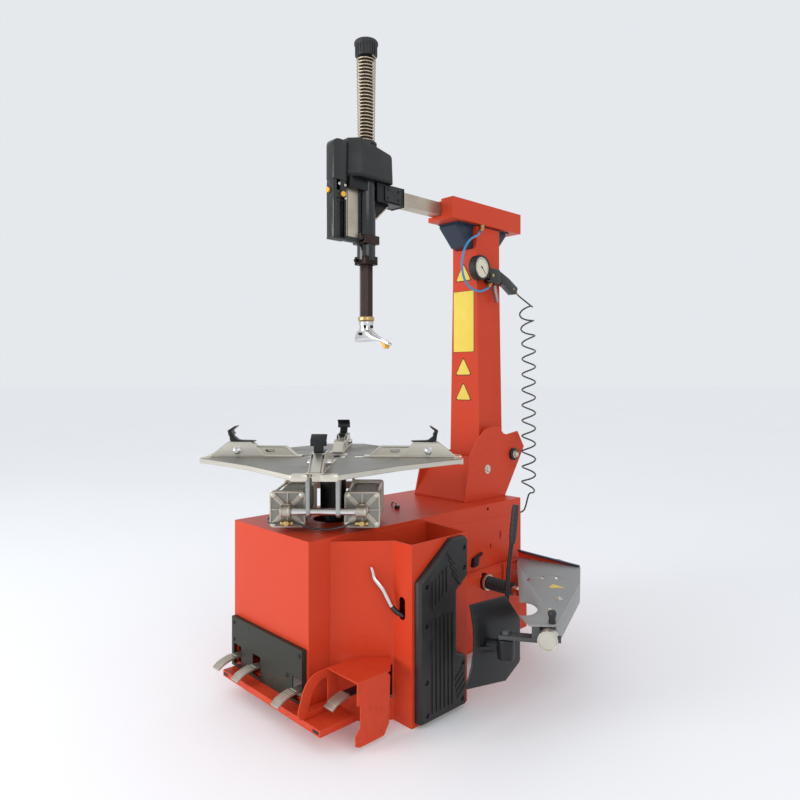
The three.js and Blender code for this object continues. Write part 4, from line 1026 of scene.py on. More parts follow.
def cylinder(name, x):
    node, body = f"clamp_{name}", "front_jaw"
    bm = bmesh.new()
    for front, rear, way in ((CYL_FRONT, CYL_FRONT - 0.022, 1), (CYL_REAR, CYL_REAR + 0.020, -1)):
        plate(bm, "y", square(x, CYL_Z, CYL_HALF, 0.011), *sorted((front - way * 0.0045, rear)))
        plate(bm, "y", square(x, CYL_Z, CYL_HALF, 0.011), *sorted((front, front - way * 0.005)),
              [square(x, CYL_Z, CYL_HALF - 0.0042, 0.007)])
        for dx in (-1, 1):
            for dz in (-1, 1):
                rod(bm, (x + dx * 0.040, front - way * 0.008, CYL_Z + dz * 0.040),
                    (x + dx * 0.040, front - way * 0.0004, CYL_Z + dz * 0.040), 0.0085, 18, 0.001)
    turned(bm, [(0, 0), (0.021, 0), (0.017, 0.010), (0, 0.010)], (x, CYL_FRONT - 0.005, CYL_Z), (0, 1, 0))
    block(bm, x - 0.013, x + 0.013, CYL_FRONT - 0.004, CYL_FRONT + 0.016, CYL_Z - 0.014, CYL_Z + 0.014)
    turned(bm, [(0.0102, -0.014), (0.0165, -0.014), (0.0165, -0.009), (0.0152, -0.008), (0.0152, 0.008),
                (0.0165, 0.009), (0.0165, 0.014), (0.0102, 0.014)],
           (x, CYL_FRONT + 0.026, CYL_Z), (1, 0, 0), 28)
    face = bmesh.new()
    plate(face, "y", square(x, CYL_Z, CYL_HALF - 0.0060, 0.006), CYL_FRONT - 0.0050, CYL_FRONT - 0.0040)
    piece(f"{name}_face", face, table_steel, body, place=TURN_UNDER)
    piece(f"{name}_covers", bm, cast_metal, body, [node], 0.0008, place=TURN_UNDER)

    spokes = Matrix.Translation((x, CYL_FRONT - 0.003, CYL_Z)) @ Matrix.Rotation(math.pi / 2, 4, "X")
    crown_recipe.grow(f"{name}_ribs", cast_metal, body, "cast_aluminium", place=TURN_UNDER @ spokes,
                      Count=8, Radius=0.031, Block_size=(0.030, 0.0035, 0.0050))
    spread = spokes @ Matrix.Rotation(QUARTER, 4, "Z")
    crown_recipe.grow(f"{name}_corner_ribs", cast_metal, body, "cast_aluminium",
                      place=TURN_UNDER @ spread, Count=4, Radius=0.036, Block_size=(0.034, 0.0130, 0.0036))
    bolt_recipe.grow(f"{name}_screws", zinc, body, "cast_aluminium", dots(
        [(x + dx * 0.040, CYL_FRONT - 0.0004, CYL_Z + dz * 0.040) for dx in (-1, 1) for dz in (-1, 1)],
        (0, 1, 0)), TURN_UNDER, Head_radius=0.0052, Head_height=0.0035, Washer_radius=0.0070, Sides=12)

    bm = bmesh.new()
    plate(bm, "y", square(x, CYL_Z, 0.042, 0.020), CYL_REAR + 0.019, CYL_FRONT - 0.021)
    piece(f"{name}_barrel", bm, table_steel, body, place=TURN_UNDER)
    bm = bmesh.new()
    for dx in (-1, 1):
        for dz in (-1, 1):
            rod(bm, (x + dx * 0.0425, CYL_REAR + 0.018, CYL_Z + dz * 0.0425),
                (x + dx * 0.0425, CYL_FRONT - 0.020, CYL_Z + dz * 0.0425), 0.0038, 12)
    piece(f"{name}_tie_rods", bm, zinc, body, place=TURN_UNDER)

    bm = bmesh.new()
    z = CYL_Z - 0.036
    rod(bm, (x, CYL_FRONT - 0.006, z), (x, CYL_FRONT + 0.014, z), 0.0068, 18, 0.001)
    for sign in (-1, 1):
        turned(bm, [(0, 0), (0.0060, 0), (0.0060, 0.010), (0.0072, 0.012), (0.0072, 0.018), (0, 0.018)],
               (x, CYL_FRONT + 0.008, z), (sign, 0, 0), 6)
    rod(bm, (x, CYL_FRONT + 0.013, z), (x, CYL_FRONT + 0.019, z), 0.0085, 6, 0.001)
    piece(f"{name}_fitting", bm, brass, body, (), 0.0005, 1, place=TURN_UNDER)


cylinder("cylinder_left", CYL_X)
cylinder("cylinder_right", -CYL_X)

# %% [markdown]
# The cross shaft joins both cylinders. Two galvanised straps with round lower ends hang from the front
# clamp and hold it. Two short hoses link the fittings of the cylinders, one in front and one below.

# %% Cross shaft and short hoses
SHAFT_Y = CYL_FRONT + 0.026
bm = bmesh.new()
rod(bm, (-0.118, SHAFT_Y, CYL_Z), (0.118, SHAFT_Y, CYL_Z), 0.0098, 32, 0.001)
piece("shaft_bar", bm, chrome, "front_jaw", ["cross_shaft"], place=TURN_UNDER)
bm = bmesh.new()
strap = [(SHAFT_Y + 0.016 * math.cos(a), CYL_Z + 0.016 * math.sin(a))
         for a in np.linspace(math.pi, 2 * math.pi, 13)]
strap += [(SHAFT_Y + 0.018, 0.655), (SHAFT_Y + 0.014, 0.6603), (SHAFT_Y - 0.024, 0.6603),
          (SHAFT_Y - 0.020, 0.600)]
for x in (-0.041, 0.041):
    plate(bm, "x", strap, x - 0.0055, x + 0.0055)
block(bm, -0.046, 0.046, SHAFT_Y - 0.022, SHAFT_Y + 0.018, 0.6560, 0.6604)
for sign in (-1, 1):
    turned(bm, [(0.0099, 0), (0.0135, 0), (0.0135, 0.003), (0.0099, 0.003)],
           (sign * 0.087, SHAFT_Y, CYL_Z), (sign, 0, 0), 24)
piece("shaft_straps", bm, steel_sheet, "front_jaw", (), 0.0012, place=TURN_UNDER)

HOSE_Z, HOSE_Y = CYL_Z - 0.036, CYL_FRONT + 0.008
for name, route in (
        ("front", [(0.085, HOSE_Y, HOSE_Z), (0.070, HOSE_Y + 0.002, HOSE_Z - 0.002),
                   (0.040, HOSE_Y + 0.004, HOSE_Z - 0.012), (0.0, HOSE_Y + 0.002, HOSE_Z - 0.017),
                   (-0.040, HOSE_Y, HOSE_Z - 0.012), (-0.070, HOSE_Y, HOSE_Z - 0.002),
                   (-0.085, HOSE_Y, HOSE_Z)]),
        ("outer", [(0.123, HOSE_Y, HOSE_Z), (0.138, HOSE_Y - 0.002, HOSE_Z - 0.001),
                   (0.158, HOSE_Y - 0.014, HOSE_Z - 0.002), (0.166, HOSE_Y - 0.040, HOSE_Z),
                   (0.163, HOSE_Y - 0.090, HOSE_Z + 0.010), (0.160, HOSE_Y - 0.150, HOSE_Z + 0.018),
                   (0.157, HOSE_Y - 0.200, HOSE_Z + 0.022), (0.150, HOSE_Y - 0.225, HOSE_Z + 0.028)])):
    route = curve([TURN_UNDER @ Vector(p) for p in route], 5)
    bm = bmesh.new()
    pipe(bm, route, 0.0028, 12)
    made = piece(f"{name}_cylinder_hose", bm, black_tube, "front_jaw")
    round(route_length(route), 3)

# %% [markdown]
# The tool head stands on the end of the sliding arm. Its operator side is a tall grip: a polished hood
# with a round top, and below it a channel whose side is sunk, with a dull panel inside. Two yellow
# buttons lock and free the shaft, and a thin shoe closes the channel at its foot.

# %% Control grip
bm = bmesh.new()
hood = rounded([(-0.0225, 1.5320), (0.0315, 1.5320), (0.0315, 1.6570, 0.006),
                (-0.0225, 1.6570, 0.024)], 0.003, 8)
plate(bm, "x", hood, -0.0065, 0.0305)
piece("grip_hood", bm, black_plastic, "tool_arm", ["control_handle"], 0.003, 3)
bm = bmesh.new()
plate(bm, "y", [(-0.0058, 1.3560), (0.0280, 1.3560), (0.0280, 1.5340), (-0.0058, 1.5340)], -0.0210, -0.0090,
      [ring(0.004, 1.501, 0.0087, 24)])
block(bm, -0.0040, 0.0160, -0.0095, 0.0300, 1.3560, 1.4880)
block(bm, -0.0040, 0.0280, 0.0220, 0.0300, 1.3560, 1.5340)
block(bm, 0.0100, 0.0275, -0.0095, 0.0055, 1.4780, 1.5340)
block(bm, 0.0100, 0.0275, 0.0225, 0.0300, 1.4780, 1.5340)
block(bm, 0.0100, 0.0175, -0.0095, 0.0300, 1.4700, 1.5340)
block(bm, 0.0100, 0.0275, -0.0095, 0.0300, 1.4990, 1.5340)
piece("grip_channel", bm, black_plastic, "tool_arm", (), 0.0012)
bm = bmesh.new()
plate(bm, "x", rounded([(-0.0080, 1.3620), (0.0100, 1.3620), (0.0100, 1.4720), (-0.0080, 1.4720)], 0.002),
      0.0155, 0.0195)
piece("grip_panel", bm, matte_plastic, "tool_arm", (), 0.0006)
bm = bmesh.new()
block(bm, -0.0055, 0.0300, -0.0225, 0.0330, 1.3520, 1.3570)
block(bm, 0.0000, 0.0250, 0.0300, 0.0860, 1.3530, 1.3660)
piece("grip_shoe", bm, matte_plastic, "tool_arm", (), 0.0012)

bm = bmesh.new()
for at, way in (((0.004, -0.0215, 1.501), (0, -1, 0)), ((0.0285, 0.014, 1.490), (1, 0, 0))):
    turned(bm, [(0.0083, -0.006), (0.0102, -0.006), (0.0102, 0.0006), (0.0083, 0.0006)], at, way, 28)
piece("button_collars", bm, matte_plastic, "tool_arm")
bolt_recipe.grow("grip_screws", zinc, "tool_arm", "black_plastic", dots(
    [(0.0277, 0.0010, 1.5200), (0.0281, 0.0240, 1.5190), (0.0281, 0.0262, 1.4790)], (1, 0, 0)),
    Head_radius=0.0038, Head_height=0.0028, Washer_radius=0.0046, Sides=16)

# %% [markdown]
# Behind the grip a matt moulded hood covers the lock. In plan it narrows towards the grip, and its top
# slopes down behind the spring. Its side walls lean in a little, as a moulding must to leave its tool.

# %% Top hood
bm = bmesh.new()
plan = rounded([(0.028, 0.032), (0.060, 0.060), (0.060, 0.200), (-0.036, 0.200), (-0.036, 0.060),
                (-0.004, 0.032)], 0.012, 4)
plate(bm, "z", plan, 1.556, 1.670)
for v in bm.verts:
    if v.co.z > 1.6:
        back = v.co.y
        v.co.y = 0.116 + (back - 0.116) * 0.975
        v.co.x = 0.012 + (v.co.x - 0.012) * 0.96
        v.co.z = 1.670 if back < 0.150 else 1.669 - 0.66 * (back - 0.150)
piece("top_hood", bm, matte_plastic, "tool_arm", ["top_cover"], 0.005, 4)
bm = bmesh.new()
plate(bm, "z", plan, 1.5500, 1.5580)
piece("hood_floor", bm, black_paint, "tool_arm", (), 0.001)

# %% [markdown]
# The shaft slides in a glossy guide tube, clamped top and bottom by square blocks. A bright strip, the
# edge of the lock plate, stands between the grip and the guide. The arm ends in a black socket that is
# welded to the guide with a sloping web, and a small plate with two screws closes its side.

# %% Guide casting
AX, AY = 0.012, 0.123
bm = bmesh.new()
turned(bm, [(0.0232, 1.300), (0.0280, 1.300), (0.0295, 1.302), (0.0295, 1.3650), (0.0275, 1.3665),
            (0.0275, 1.3780), (0.0300, 1.3795), (0.0300, 1.556), (0.0232, 1.556)], (AX, AY, 0), sides=40)
block(bm, AX - 0.006, AX + 0.006, 0.084, 0.098, 1.384, 1.512)
piece("guide_tube", bm, black_plastic, "tool_arm", ["head_block"], 0.0006, 1, smooth=35)
bm = bmesh.new()
BORE_RADIUS = 0.0235
bore = [(AX + BORE_RADIUS * math.cos(a), AY + BORE_RADIUS * math.sin(a))
        for a in np.arange(24) * math.tau / 24]
for low, high, half in ((1.287, 1.313, 0.027), (1.352, 1.378, 0.031)):
    plate(bm, "z", square(AX, AY, half, 0.004), low, high, [bore])
rod(bm, (AX - 0.012, AY - 0.026, 1.300), (AX - 0.012, AY - 0.038, 1.300), 0.006, 6, 0.001)
piece("guide_clamps", bm, shaft_steel, "tool_arm", (), 0.0012)
bm = bmesh.new()
block(bm, 0.0180, 0.0235, 0.0380, 0.0790, 1.3660, 1.5160)
piece("lock_plate", bm, bar_steel, "tool_arm", (), 0.0008)
bm = bmesh.new()
for wall in ((AX - 0.030, AX - 0.0225, 1.491, 1.551), (AX + 0.0225, AX + 0.030, 1.491, 1.551),
             (AX - 0.030, AX + 0.030, 1.491, 1.4985), (AX - 0.030, AX + 0.030, 1.5435, 1.551)):
    block(bm, wall[0], wall[1], AY + 0.020, 0.262, wall[2], wall[3])
block(bm, AX - 0.029, AX + 0.029, AY + 0.020, 0.2055, 1.4980, 1.5440)
plate(bm, "x", [(AY + 0.024, 1.436), (AY + 0.036, 1.440), (AY + 0.092, 1.4915), (AY + 0.024, 1.4915)],
      AX - 0.009, AX + 0.009)
block(bm, AX - 0.026, AX + 0.026, 0.036, AY, 1.5160, 1.5570)
piece("arm_socket", bm, black_paint, "tool_arm", (), 0.0014)
bm = bmesh.new()
plate(bm, "x", rounded([(0.176, 1.497), (0.246, 1.497), (0.246, 1.545), (0.176, 1.545)], 0.004),
      AX + 0.0300, AX + 0.0335)
piece("socket_plate", bm, matte_plastic, "tool_arm", (), 0.0008)
bolt_recipe.grow("socket_screws", black_paint, "tool_arm", "black_paint", dots(
    [(AX + 0.0335, y, z) for y in (0.188, 0.234) for z in (1.507, 1.535)], (1, 0, 0)),
    Head_radius=0.0036, Head_height=0.0026, Washer_radius=0.0048, Sides=12)
beads = [(AX + 0.0095, AY + 0.034 + 0.0052 * i, 1.4402 + 0.0048 * i) for i in range(10)]
bolt_recipe.grow("weld_bead", zinc, "tool_arm", "zinc_plate", dots(beads, (0.7, 0.3, -0.6)),
                 Head_radius=0.0026, Head_height=0.0014, Washer_radius=0.0034, Sides=10)

# %% [markdown]
# Above the hood a long return spring lifts the shaft. Its turns are open, and the last ones at the
# foot are a little narrower. It shortens when the shaft goes down.

# %% Return spring
SPRING_FOOT, SPRING_TOP = 1.678, 1.9487
place = Matrix.Translation((AX, AY, SPRING_FOOT + 0.002))
spring = coil_recipe.grow("return_coil", wire, "tool_arm", "spring_wire", place=place,
                          replaces=["return_spring"], Turns=25.0, Start_radius=0.0262,
                          End_radius=0.0298, Height=SPRING_TOP - SPRING_FOOT - 0.004, Wire=0.0019)
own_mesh(spring)
bm = bmesh.new()
turned(bm, [(0.0232, 1.667), (0.034, 1.667), (0.034, 1.674), (0.031, 1.6775), (0.0232, 1.6775)],
       (AX, AY, 0), sides=40)
piece("spring_seat", bm, matte_plastic, "tool_arm", (), 0.0008)

# %% [markdown]
# The cap on top of the shaft is a turned plastic knob with upright grip ribs and a flange.

# %% Shaft cap
CAP = 1.9493
bm = bmesh.new()
turned(bm, [(0, CAP), (0.0325, CAP), (0.0335, CAP + 0.003), (0.0335, CAP + 0.033), (0.0365, CAP + 0.036),
            (0.0385, CAP + 0.039), (0.0385, CAP + 0.045), (0.0360, CAP + 0.049), (0.0200, CAP + 0.0515),
            (0.0180, CAP + 0.0500), (0, CAP + 0.0500)], (AX, AY, 0), sides=48)
piece("cap_body", bm, matte_plastic, "tool_shaft", ["shaft_cap"], 0.0006)
crown_recipe.grow("cap_ribs", matte_plastic, "tool_shaft", "black_plastic",
                  place=Matrix.Translation((AX, AY, CAP + 0.0185)), Count=24, Radius=0.0340,
                  Block_size=(0.0032, 0.0044, 0.029))

# %% [markdown]
# The mounting tool guides the bead over the rim. It is a polished casting shaped like a duck's head: a
# collar on the shaft, a foot that is flat below, and a long bill that dips to the right with a yellow
# plastic guard at its tip. The foot is a row of rounded sections along X.

# %% Mounting tool
def loft(bm, sections, steps=5, sides=20):
    """A body through rounded sections (x, half width, low, high) along X, round the shaft axis."""
    line = curve([(s[0], s[1], s[2]) for s in sections], steps)
    tops = curve([(s[0], s[3], 0) for s in sections], steps)
    rows = []
    for p, q in zip(line, tops):
        middle, rise = (p.z + q.y) / 2, max((q.y - p.z) / 2, 0.0008)
        row = []
        for k in range(sides):
            a = math.tau * k / sides
            c, s = math.cos(a), math.sin(a)
            row.append(bm.verts.new((p.x, AY + p.y * math.copysign(abs(c) ** 0.6, c),
                                     middle + rise * math.copysign(abs(s) ** 0.6, s))))
        rows.append(row)
    walls(bm, rows)
    bm.faces.new(rows[-1])


bm = bmesh.new()
loft(bm, [(-0.034, 0.004, 1.0445, 1.0480), (-0.029, 0.013, 1.0430, 1.0560), (-0.017, 0.018, 1.0420, 1.0790),
          (0.010, 0.019, 1.0420, 1.0870), (0.034, 0.018, 1.0430, 1.0800), (0.054, 0.016, 1.0435, 1.0650),
          (0.080, 0.013, 1.0410, 1.0540), (0.104, 0.011, 1.0345, 1.0450), (0.121, 0.008, 1.0280, 1.0365),
          (0.128, 0.003, 1.0265, 1.0310)])
turned(bm, [(0.0, 1.076), (0.0215, 1.076), (0.0225, 1.084), (0.0205, 1.090), (0.0215, 1.0945),
            (0.0235, 1.0985), (0.0235, 1.1065), (0.0215, 1.1085), (0.0, 1.1085)], (AX, AY, 0), sides=36)
pipe(bm, curve([(0.030, AY - 0.008, 1.0860), (0.050, AY - 0.010, 1.0740), (0.078, AY - 0.010, 1.0575),
                (0.102, AY - 0.009, 1.0470), (0.122, AY - 0.006, 1.0370)], 5), 0.0028, 10)
piece("mount_tool", bm, chrome, "tool_shaft", ["mount_head"], smooth=50)
bm = bmesh.new()
turned(bm, [(0, 1.1085), (0.0240, 1.1085), (0.0262, 1.1110), (0.0262, 1.1190), (0.0240, 1.1225),
            (0, 1.1225)], (AX, AY, 0), sides=36)
piece("mount_collar", bm, brass, "tool_shaft", (), 0.0006)
bm = bmesh.new()
for at, way in (((AX + 0.012, AY - 0.0150, 1.0900), (0.62, -0.78, 0)),
                ((AX - 0.006, AY - 0.0180, 1.0680), (0.1, -1, 0)),
                ((AX + 0.018, AY + 0.004, 1.0900), (1, 0.1, 0))):
    turned(bm, [(0, 0), (0.0048, 0), (0.0048, 0.0062), (0.0026, 0.0066), (0.0024, 0.0040), (0, 0.0040)],
           at, way, 16)
piece("set_screws", bm, black_paint, "tool_shaft")
bm = bmesh.new()
plate(bm, "y", rounded([(0.090, 1.0370), (0.098, 1.0380), (0.110, 1.0330), (0.112, 1.0200), (0.104, 1.0180),
                        (0.099, 1.0280)], 0.003), AY - 0.0095, AY + 0.0095)
piece("bill_guard", bm, yellow_plastic, "tool_shaft", (), 0.0012)

# %% [markdown]
# Where the column stands on its bracket it turns on a heavy pin with a rubber washer, and a row of
# smaller bolts closes the cheeks. The head box above carries folded corner plates, and plain yellow
# stickers show where hands must stay clear.

# %% Column fittings
cheek_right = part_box("column_bracket")[1][0]
bolt_recipe.grow("cheek_bolts", zinc, "root", "zinc_plate", dots(
    [(side * cheek_right, 0.600, 0.602) for side in (-1, 1)], (1, 0, 0)),
    Head_radius=0.0095, Head_height=0.0065, Washer_radius=0.0160)
pin_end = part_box("pivot_pin")[1][0]
bm = bmesh.new()
for side in (-1, 1):
    turned(bm, [(0, 0), (0.0215, 0), (0.0215, 0.0010), (0.0195, 0.0025), (0, 0.0025)],
           (side * pin_end, 0.749, 0.645), (side, 0, 0), 36)
piece("pin_washer", bm, rubber, "root")
bm = bmesh.new()
for side in (-1, 1):
    turned(bm, [(0, 0), (0.0135, 0), (0.0135, 0.0018), (0, 0.0018)],
           (side * (pin_end + 0.0022), 0.749, 0.645),
           (side, 0, 0), 28)
    turned(bm, [(0, 0), (0.0100, 0), (0.0106, 0.001), (0.0106, 0.0070), (0.0090, 0.0086), (0, 0.0086)],
           (side * (pin_end + 0.0036), 0.749, 0.645), (side, 0, 0), 6)
piece("pin_nut", bm, zinc, "root", (), 0.0006)

print("pin end", round(pin_end, 4), "cheek", round(cheek_right, 4))

bm = bmesh.new()
edge_bm = bmesh.new()
COLUMN_FRONT, COLUMN_X = 0.596, 0.018
for z in (1.306, 0.960, 0.868):
    for target, size, depth in ((edge_bm, 0.0450, 0.0004), (bm, 0.0400, 0.0007)):
        corners = [(COLUMN_X - 0.006 + size * math.sin(a), z + size * math.cos(a))
                   for a in (0, -math.tau / 3, math.tau / 3)]
        plate(target, "y", rounded(corners, 0.005), COLUMN_FRONT - depth, COLUMN_FRONT + 0.0005)
for target, grow, depth in ((edge_bm, 0.0016, 0.0004), (bm, 0.0, 0.0007)):
    plate(target, "y", rounded([(-0.035 - grow, 1.024 - grow), (0.061 + grow, 1.024 - grow),
                                (0.061 + grow, 1.246 + grow), (-0.035 - grow, 1.246 + grow)], 0.004),
          COLUMN_FRONT - depth, COLUMN_FRONT + 0.0005)
piece("sticker_faces", bm, label_plastic, "column")
piece("sticker_borders", edge_bm, black_paint, "column")

# %% [markdown]
# The air gun hangs on a hook on the column. Its dial gauge has a ribbed rubber boot, a cream face with
# plain ticks and a needle. The grip is black plastic with a soft ribbed back, and the trigger is a lever.

# %% Inflation gun
GX, GY, GZ = 0.096, 0.585, 1.322
bm = bmesh.new()
turned(bm, [(0, -0.016), (0.039, -0.016), (0.0445, -0.012), (0.0450, 0.010), (0.0420, 0.0165),
            (0.0375, 0.0165), (0.0375, 0.0120), (0, 0.0120)], (GX, GY, GZ), (1, 0, 0), 48)
for z0 in (-0.0105, -0.0035, 0.0035):
    turned(bm, [(0.0440, z0 - 0.0016), (0.0452, z0 - 0.0008), (0.0452, z0 + 0.0008), (0.0440, z0 + 0.0016)],
           (GX, GY, GZ), (1, 0, 0), 48)
piece("gauge_boot", bm, rubber, "column", ["gun_gauge"])
bm = bmesh.new()
turned(bm, [(0, 0.0115), (0.0372, 0.0115), (0.0372, 0.0130), (0, 0.0130)], (GX, GY, GZ), (1, 0, 0), 40)
piece("gauge_face", bm, cream_paint, "column")
bm = bmesh.new()
for k in range(25):
    a = math.radians(-135 + 270 * k / 24)
    long = 0.0070 if k % 4 == 0 else 0.0040
    tick = bmesh.new()
    block(tick, 0.0128, 0.0136, -0.0005, 0.0005, 0.0340 - long, 0.0340)
    merged(bm, tick, Matrix.Translation((GX, GY, GZ)) @ Matrix.Rotation(a, 4, "X"))
needle = bmesh.new()
block(needle, 0.0134, 0.0142, -0.0008, 0.0008, -0.008, 0.028)
turned(needle, [(0, 0.0130), (0.0034, 0.0130), (0.0030, 0.0152), (0, 0.0152)], (0, 0, 0), (1, 0, 0), 20)
merged(bm, needle, Matrix.Translation((GX, GY, GZ)) @ Matrix.Rotation(math.radians(-135), 4, "X"))
piece("gauge_marks", bm, black_paint, "column")

bm = bmesh.new()
plate(bm, "x", rounded([(0.631, 1.274), (0.690, 1.270), (0.690, 1.3245), (0.631, 1.326)], 0.008),
      GX - 0.0135, GX + 0.0135)
plate(bm, "x", rounded([(0.684, 1.284), (0.686, 1.322), (0.744, 1.299), (0.800, 1.268), (0.790, 1.244),
                        (0.772, 1.241), (0.730, 1.266)], 0.007), GX - 0.0125, GX + 0.0125)
plate(bm, "x", rounded([(0.618, 1.290), (0.636, 1.286), (0.636, 1.320), (0.618, 1.326)], 0.005),
      GX - 0.010, GX + 0.010)
piece("gun_shell", bm, black_plastic, "column", ["gun_body"], 0.004, 3)
bm = bmesh.new()
block(bm, 0.0755, 0.0850, 0.657, 0.673, 1.2965, 1.3115)
turned(bm, [(0, 0), (0.0062, 0), (0.0062, 0.0035), (0.0030, 0.0045), (0, 0.0045)],
       (GX + 0.0135, 0.646, 1.300), (1, 0, 0), 20)
turned(bm, [(0, 0), (0.0038, 0), (0.0038, 0.003), (0, 0.003)], (GX + 0.0125, 0.770, 1.262), (1, 0, 0), 20)
piece("gun_hook", bm, brass, "column", (), 0.0005, 1)
bm = bmesh.new()
for k in range(9):
    at = 0.700 + 0.010 * k
    top = 1.3160 - (at - 0.700) * 0.47
    rod(bm, (GX - 0.0095, at, top), (GX + 0.0095, at, top), 0.0022, 10)
piece("grip_ribs", bm, matte_plastic, "column")
for name, a, b, big, small in (("inlet", (GX, 0.650, 1.2745), (GX, 0.642, 1.258), 0.0078, 0.0052),
                               ("outlet", (GX, 0.788, 1.259), (GX, 0.812, 1.247), 0.0062, 0.0045)):
    bm = bmesh.new()
    line = [Vector(a).lerp(Vector(b), t) for t in (0, 0.28, 0.34, 0.46, 0.52, 0.66, 0.72, 1)]
    pipe(bm, line, [big, big, small, small, big * 0.9, big * 0.9, small, small * 0.9], 20)
    piece(f"gun_{name}", bm, brass, "column")
bm = bmesh.new()
plate(bm, "x", rounded([(0.664, 1.267), (0.676, 1.267), (0.684, 1.236), (0.690, 1.207), (0.683, 1.2045),
                        (0.673, 1.235)], 0.003), GX - 0.0062, GX + 0.0062)
piece("gun_lever", bm, steel_sheet, "trigger", ["gun_trigger"], 0.0012)

# %% [markdown]
# The bead breaker is a long arm behind the cabinet with a curved blade at its end. The arm is a folded
# sheet: a deck with an oval window, a wall all round below it, and a tail. A round tube with a closed
# end is welded under it. Everything is drawn flat, then turned by 33 degrees about the hinge.

# %% Breaker arm
swing = Matrix.Translation((0.300, 0.668, 0)) @ Matrix.Rotation(math.radians(33), 4, "Z")
def arc(x, y, radius_x, radius_y, start, end, steps=16):
    return [(x + radius_x * math.cos(a), y + radius_y * math.sin(a))
            for a in np.linspace(start, end, steps)]


deck = [(-0.078, 0.018), (-0.078, -0.060)]
deck += arc(-0.038, -0.496, 0.040, 0.056, 1.85, -1.75)
deck += [(-0.0215, -0.604), (-0.016, -0.6175), (0.046, -0.607), (0.053, -0.597), (0.122, -0.235),
         (0.130, -0.056), (0.126, -0.045), (0.062, 0.028), (0.050, 0.030), (-0.070, 0.0245)]


def oval(x, y, half_width, half_length, count=36):
    return [(x + half_width * math.cos(a), y + half_length * math.sin(a))
            for a in np.arange(count) * math.tau / count]


bm = bmesh.new()
plate(bm, "z", deck, 0.2962, 0.3000, [oval(x, y, 0.004, 0.016, 16) for x, y in (
    (-0.034, -0.230), (0.010, -0.200), (0.052, -0.190))])
for corners, low in (([(0.126, -0.050), (0.130, -0.050), (0.122, -0.235), (0.118, -0.235)], 0.242),
                     ([(0.118, -0.235), (0.122, -0.235), (0.053, -0.597), (0.049, -0.597)], 0.242),
                     ([(0.126, -0.050), (0.130, -0.050), (0.060, 0.030), (0.056, 0.030)], 0.262)):
    plate(bm, "z", corners, low, 0.2968)
piece("breaker_deck", bm, grey_paint, "swing_arm", ["breaker_arm"], 0.001, place=swing)
bm = bmesh.new()
turned(bm, [(0.0225, -0.634), (0.0258, -0.634), (0.0260, -0.632), (0.0260, -0.430), (0.0225, -0.430)],
       (0.030, 0, 0.268), (0, 1, 0), 36)
turned(bm, [(0, -0.6318), (0.0215, -0.6318), (0.0225, -0.6308), (0.0225, -0.6240), (0, -0.6240)],
       (0.030, 0, 0.268), (0, 1, 0), 36)
piece("breaker_tube", bm, table_rim, "swing_arm", (), 0.0006, place=swing)
bm = bmesh.new()
rod(bm, (0, 0, 0.2020), (0, 0, 0.3000), 0.0118, 28, 0.001)
turned(bm, [(0, 0.1900), (0.0130, 0.1900), (0.0150, 0.1915), (0.0150, 0.2020), (0, 0.2020)], sides=6)
piece("hinge_bolt", bm, zinc, "swing_arm", (), 0.0006, place=swing)
WALL = ((-0.0770, 0.0210), (0.1270, -0.0500))
length = math.dist(*WALL)
on_wall = swing @ Matrix.Translation((*WALL[0], 0)) @ Matrix.Rotation(
    math.atan2(WALL[1][1] - WALL[0][1], WALL[1][0] - WALL[0][0]), 4, "Z")
bm = bmesh.new()
plate(bm, "y", [(0, 0.2990), (length, 0.2990), (length, 0.3010), (0, 0.3240)], -0.0018, 0.0018)
piece("rear_wall", bm, red_paint, "swing_arm", (), 0.0006, 1, place=on_wall)
bm = bmesh.new()
plate(bm, "y", [(-0.0010, 0.3230), (length + 0.001, 0.3000), (length + 0.001, 0.3045), (-0.0010, 0.3275)],
      -0.0100, 0.0030)
piece("rear_flange", bm, navy_paint, "swing_arm", (), 0.0010, place=on_wall)
bm = bmesh.new()
block(bm, 0.012, 0.048, -0.598, -0.442, 0.2880, 0.2966)
block(bm, -0.094, 0.010, -0.6120, -0.5780, 0.2540, 0.2640)
block(bm, -0.010, 0.010, -0.6120, -0.5780, 0.2640, 0.2966)
rod(bm, (-0.076, -0.5945, 0.1900), (-0.076, -0.5945, 0.2700), 0.0078, 24, 0.0008)
turned(bm, [(0, 0.2640), (0.0140, 0.2640), (0.0140, 0.2660), (0.0110, 0.2740), (0, 0.2740)],
       (-0.076, -0.5945, 0), sides=6)
turned(bm, [(0, 0), (0.0090, 0), (0.0098, 0.001), (0.0098, 0.0075), (0, 0.0075)], (0.0555, -0.612, 0.268),
       (1, 0, 0), 6)
piece("blade_ear", bm, iron, "swing_arm", (), 0.0010, place=swing)
bm = bmesh.new()
turned(bm, [(0, 0.2990), (0.0085, 0.2990), (0.0095, 0.3030), (0.0085, 0.3150), (0.0105, 0.3200),
            (0.0110, 0.3270), (0.0080, 0.3320), (0, 0.3330)], (0.041, -0.590, 0), sides=28)
piece("release_knob", bm, matte_plastic, "swing_arm", place=swing)
bolt_recipe.grow("deck_bolts", zinc, "swing_arm", "zinc_plate", dots(
    [(0.0340, -0.500, 0.300), (0.0600, -0.400, 0.300)], (0, 0, 1)), swing,
    Head_radius=0.0068, Head_height=0.0045, Washer_radius=0.0098)
bm = bmesh.new()
plate(bm, "z", rounded([(0.030, -0.300), (0.078, -0.290), (0.040, -0.262)], 0.002), 0.2998, 0.3004)
piece("deck_sticker", bm, label_plastic, "swing_arm", place=swing)

# %% [markdown]
# The blade is a thick shovel of dark iron. Its face is a little crowned, so it presses on the tyre in
# its middle first. It hangs on the arm by a boss, and a tall black handle lets a hand steer it.

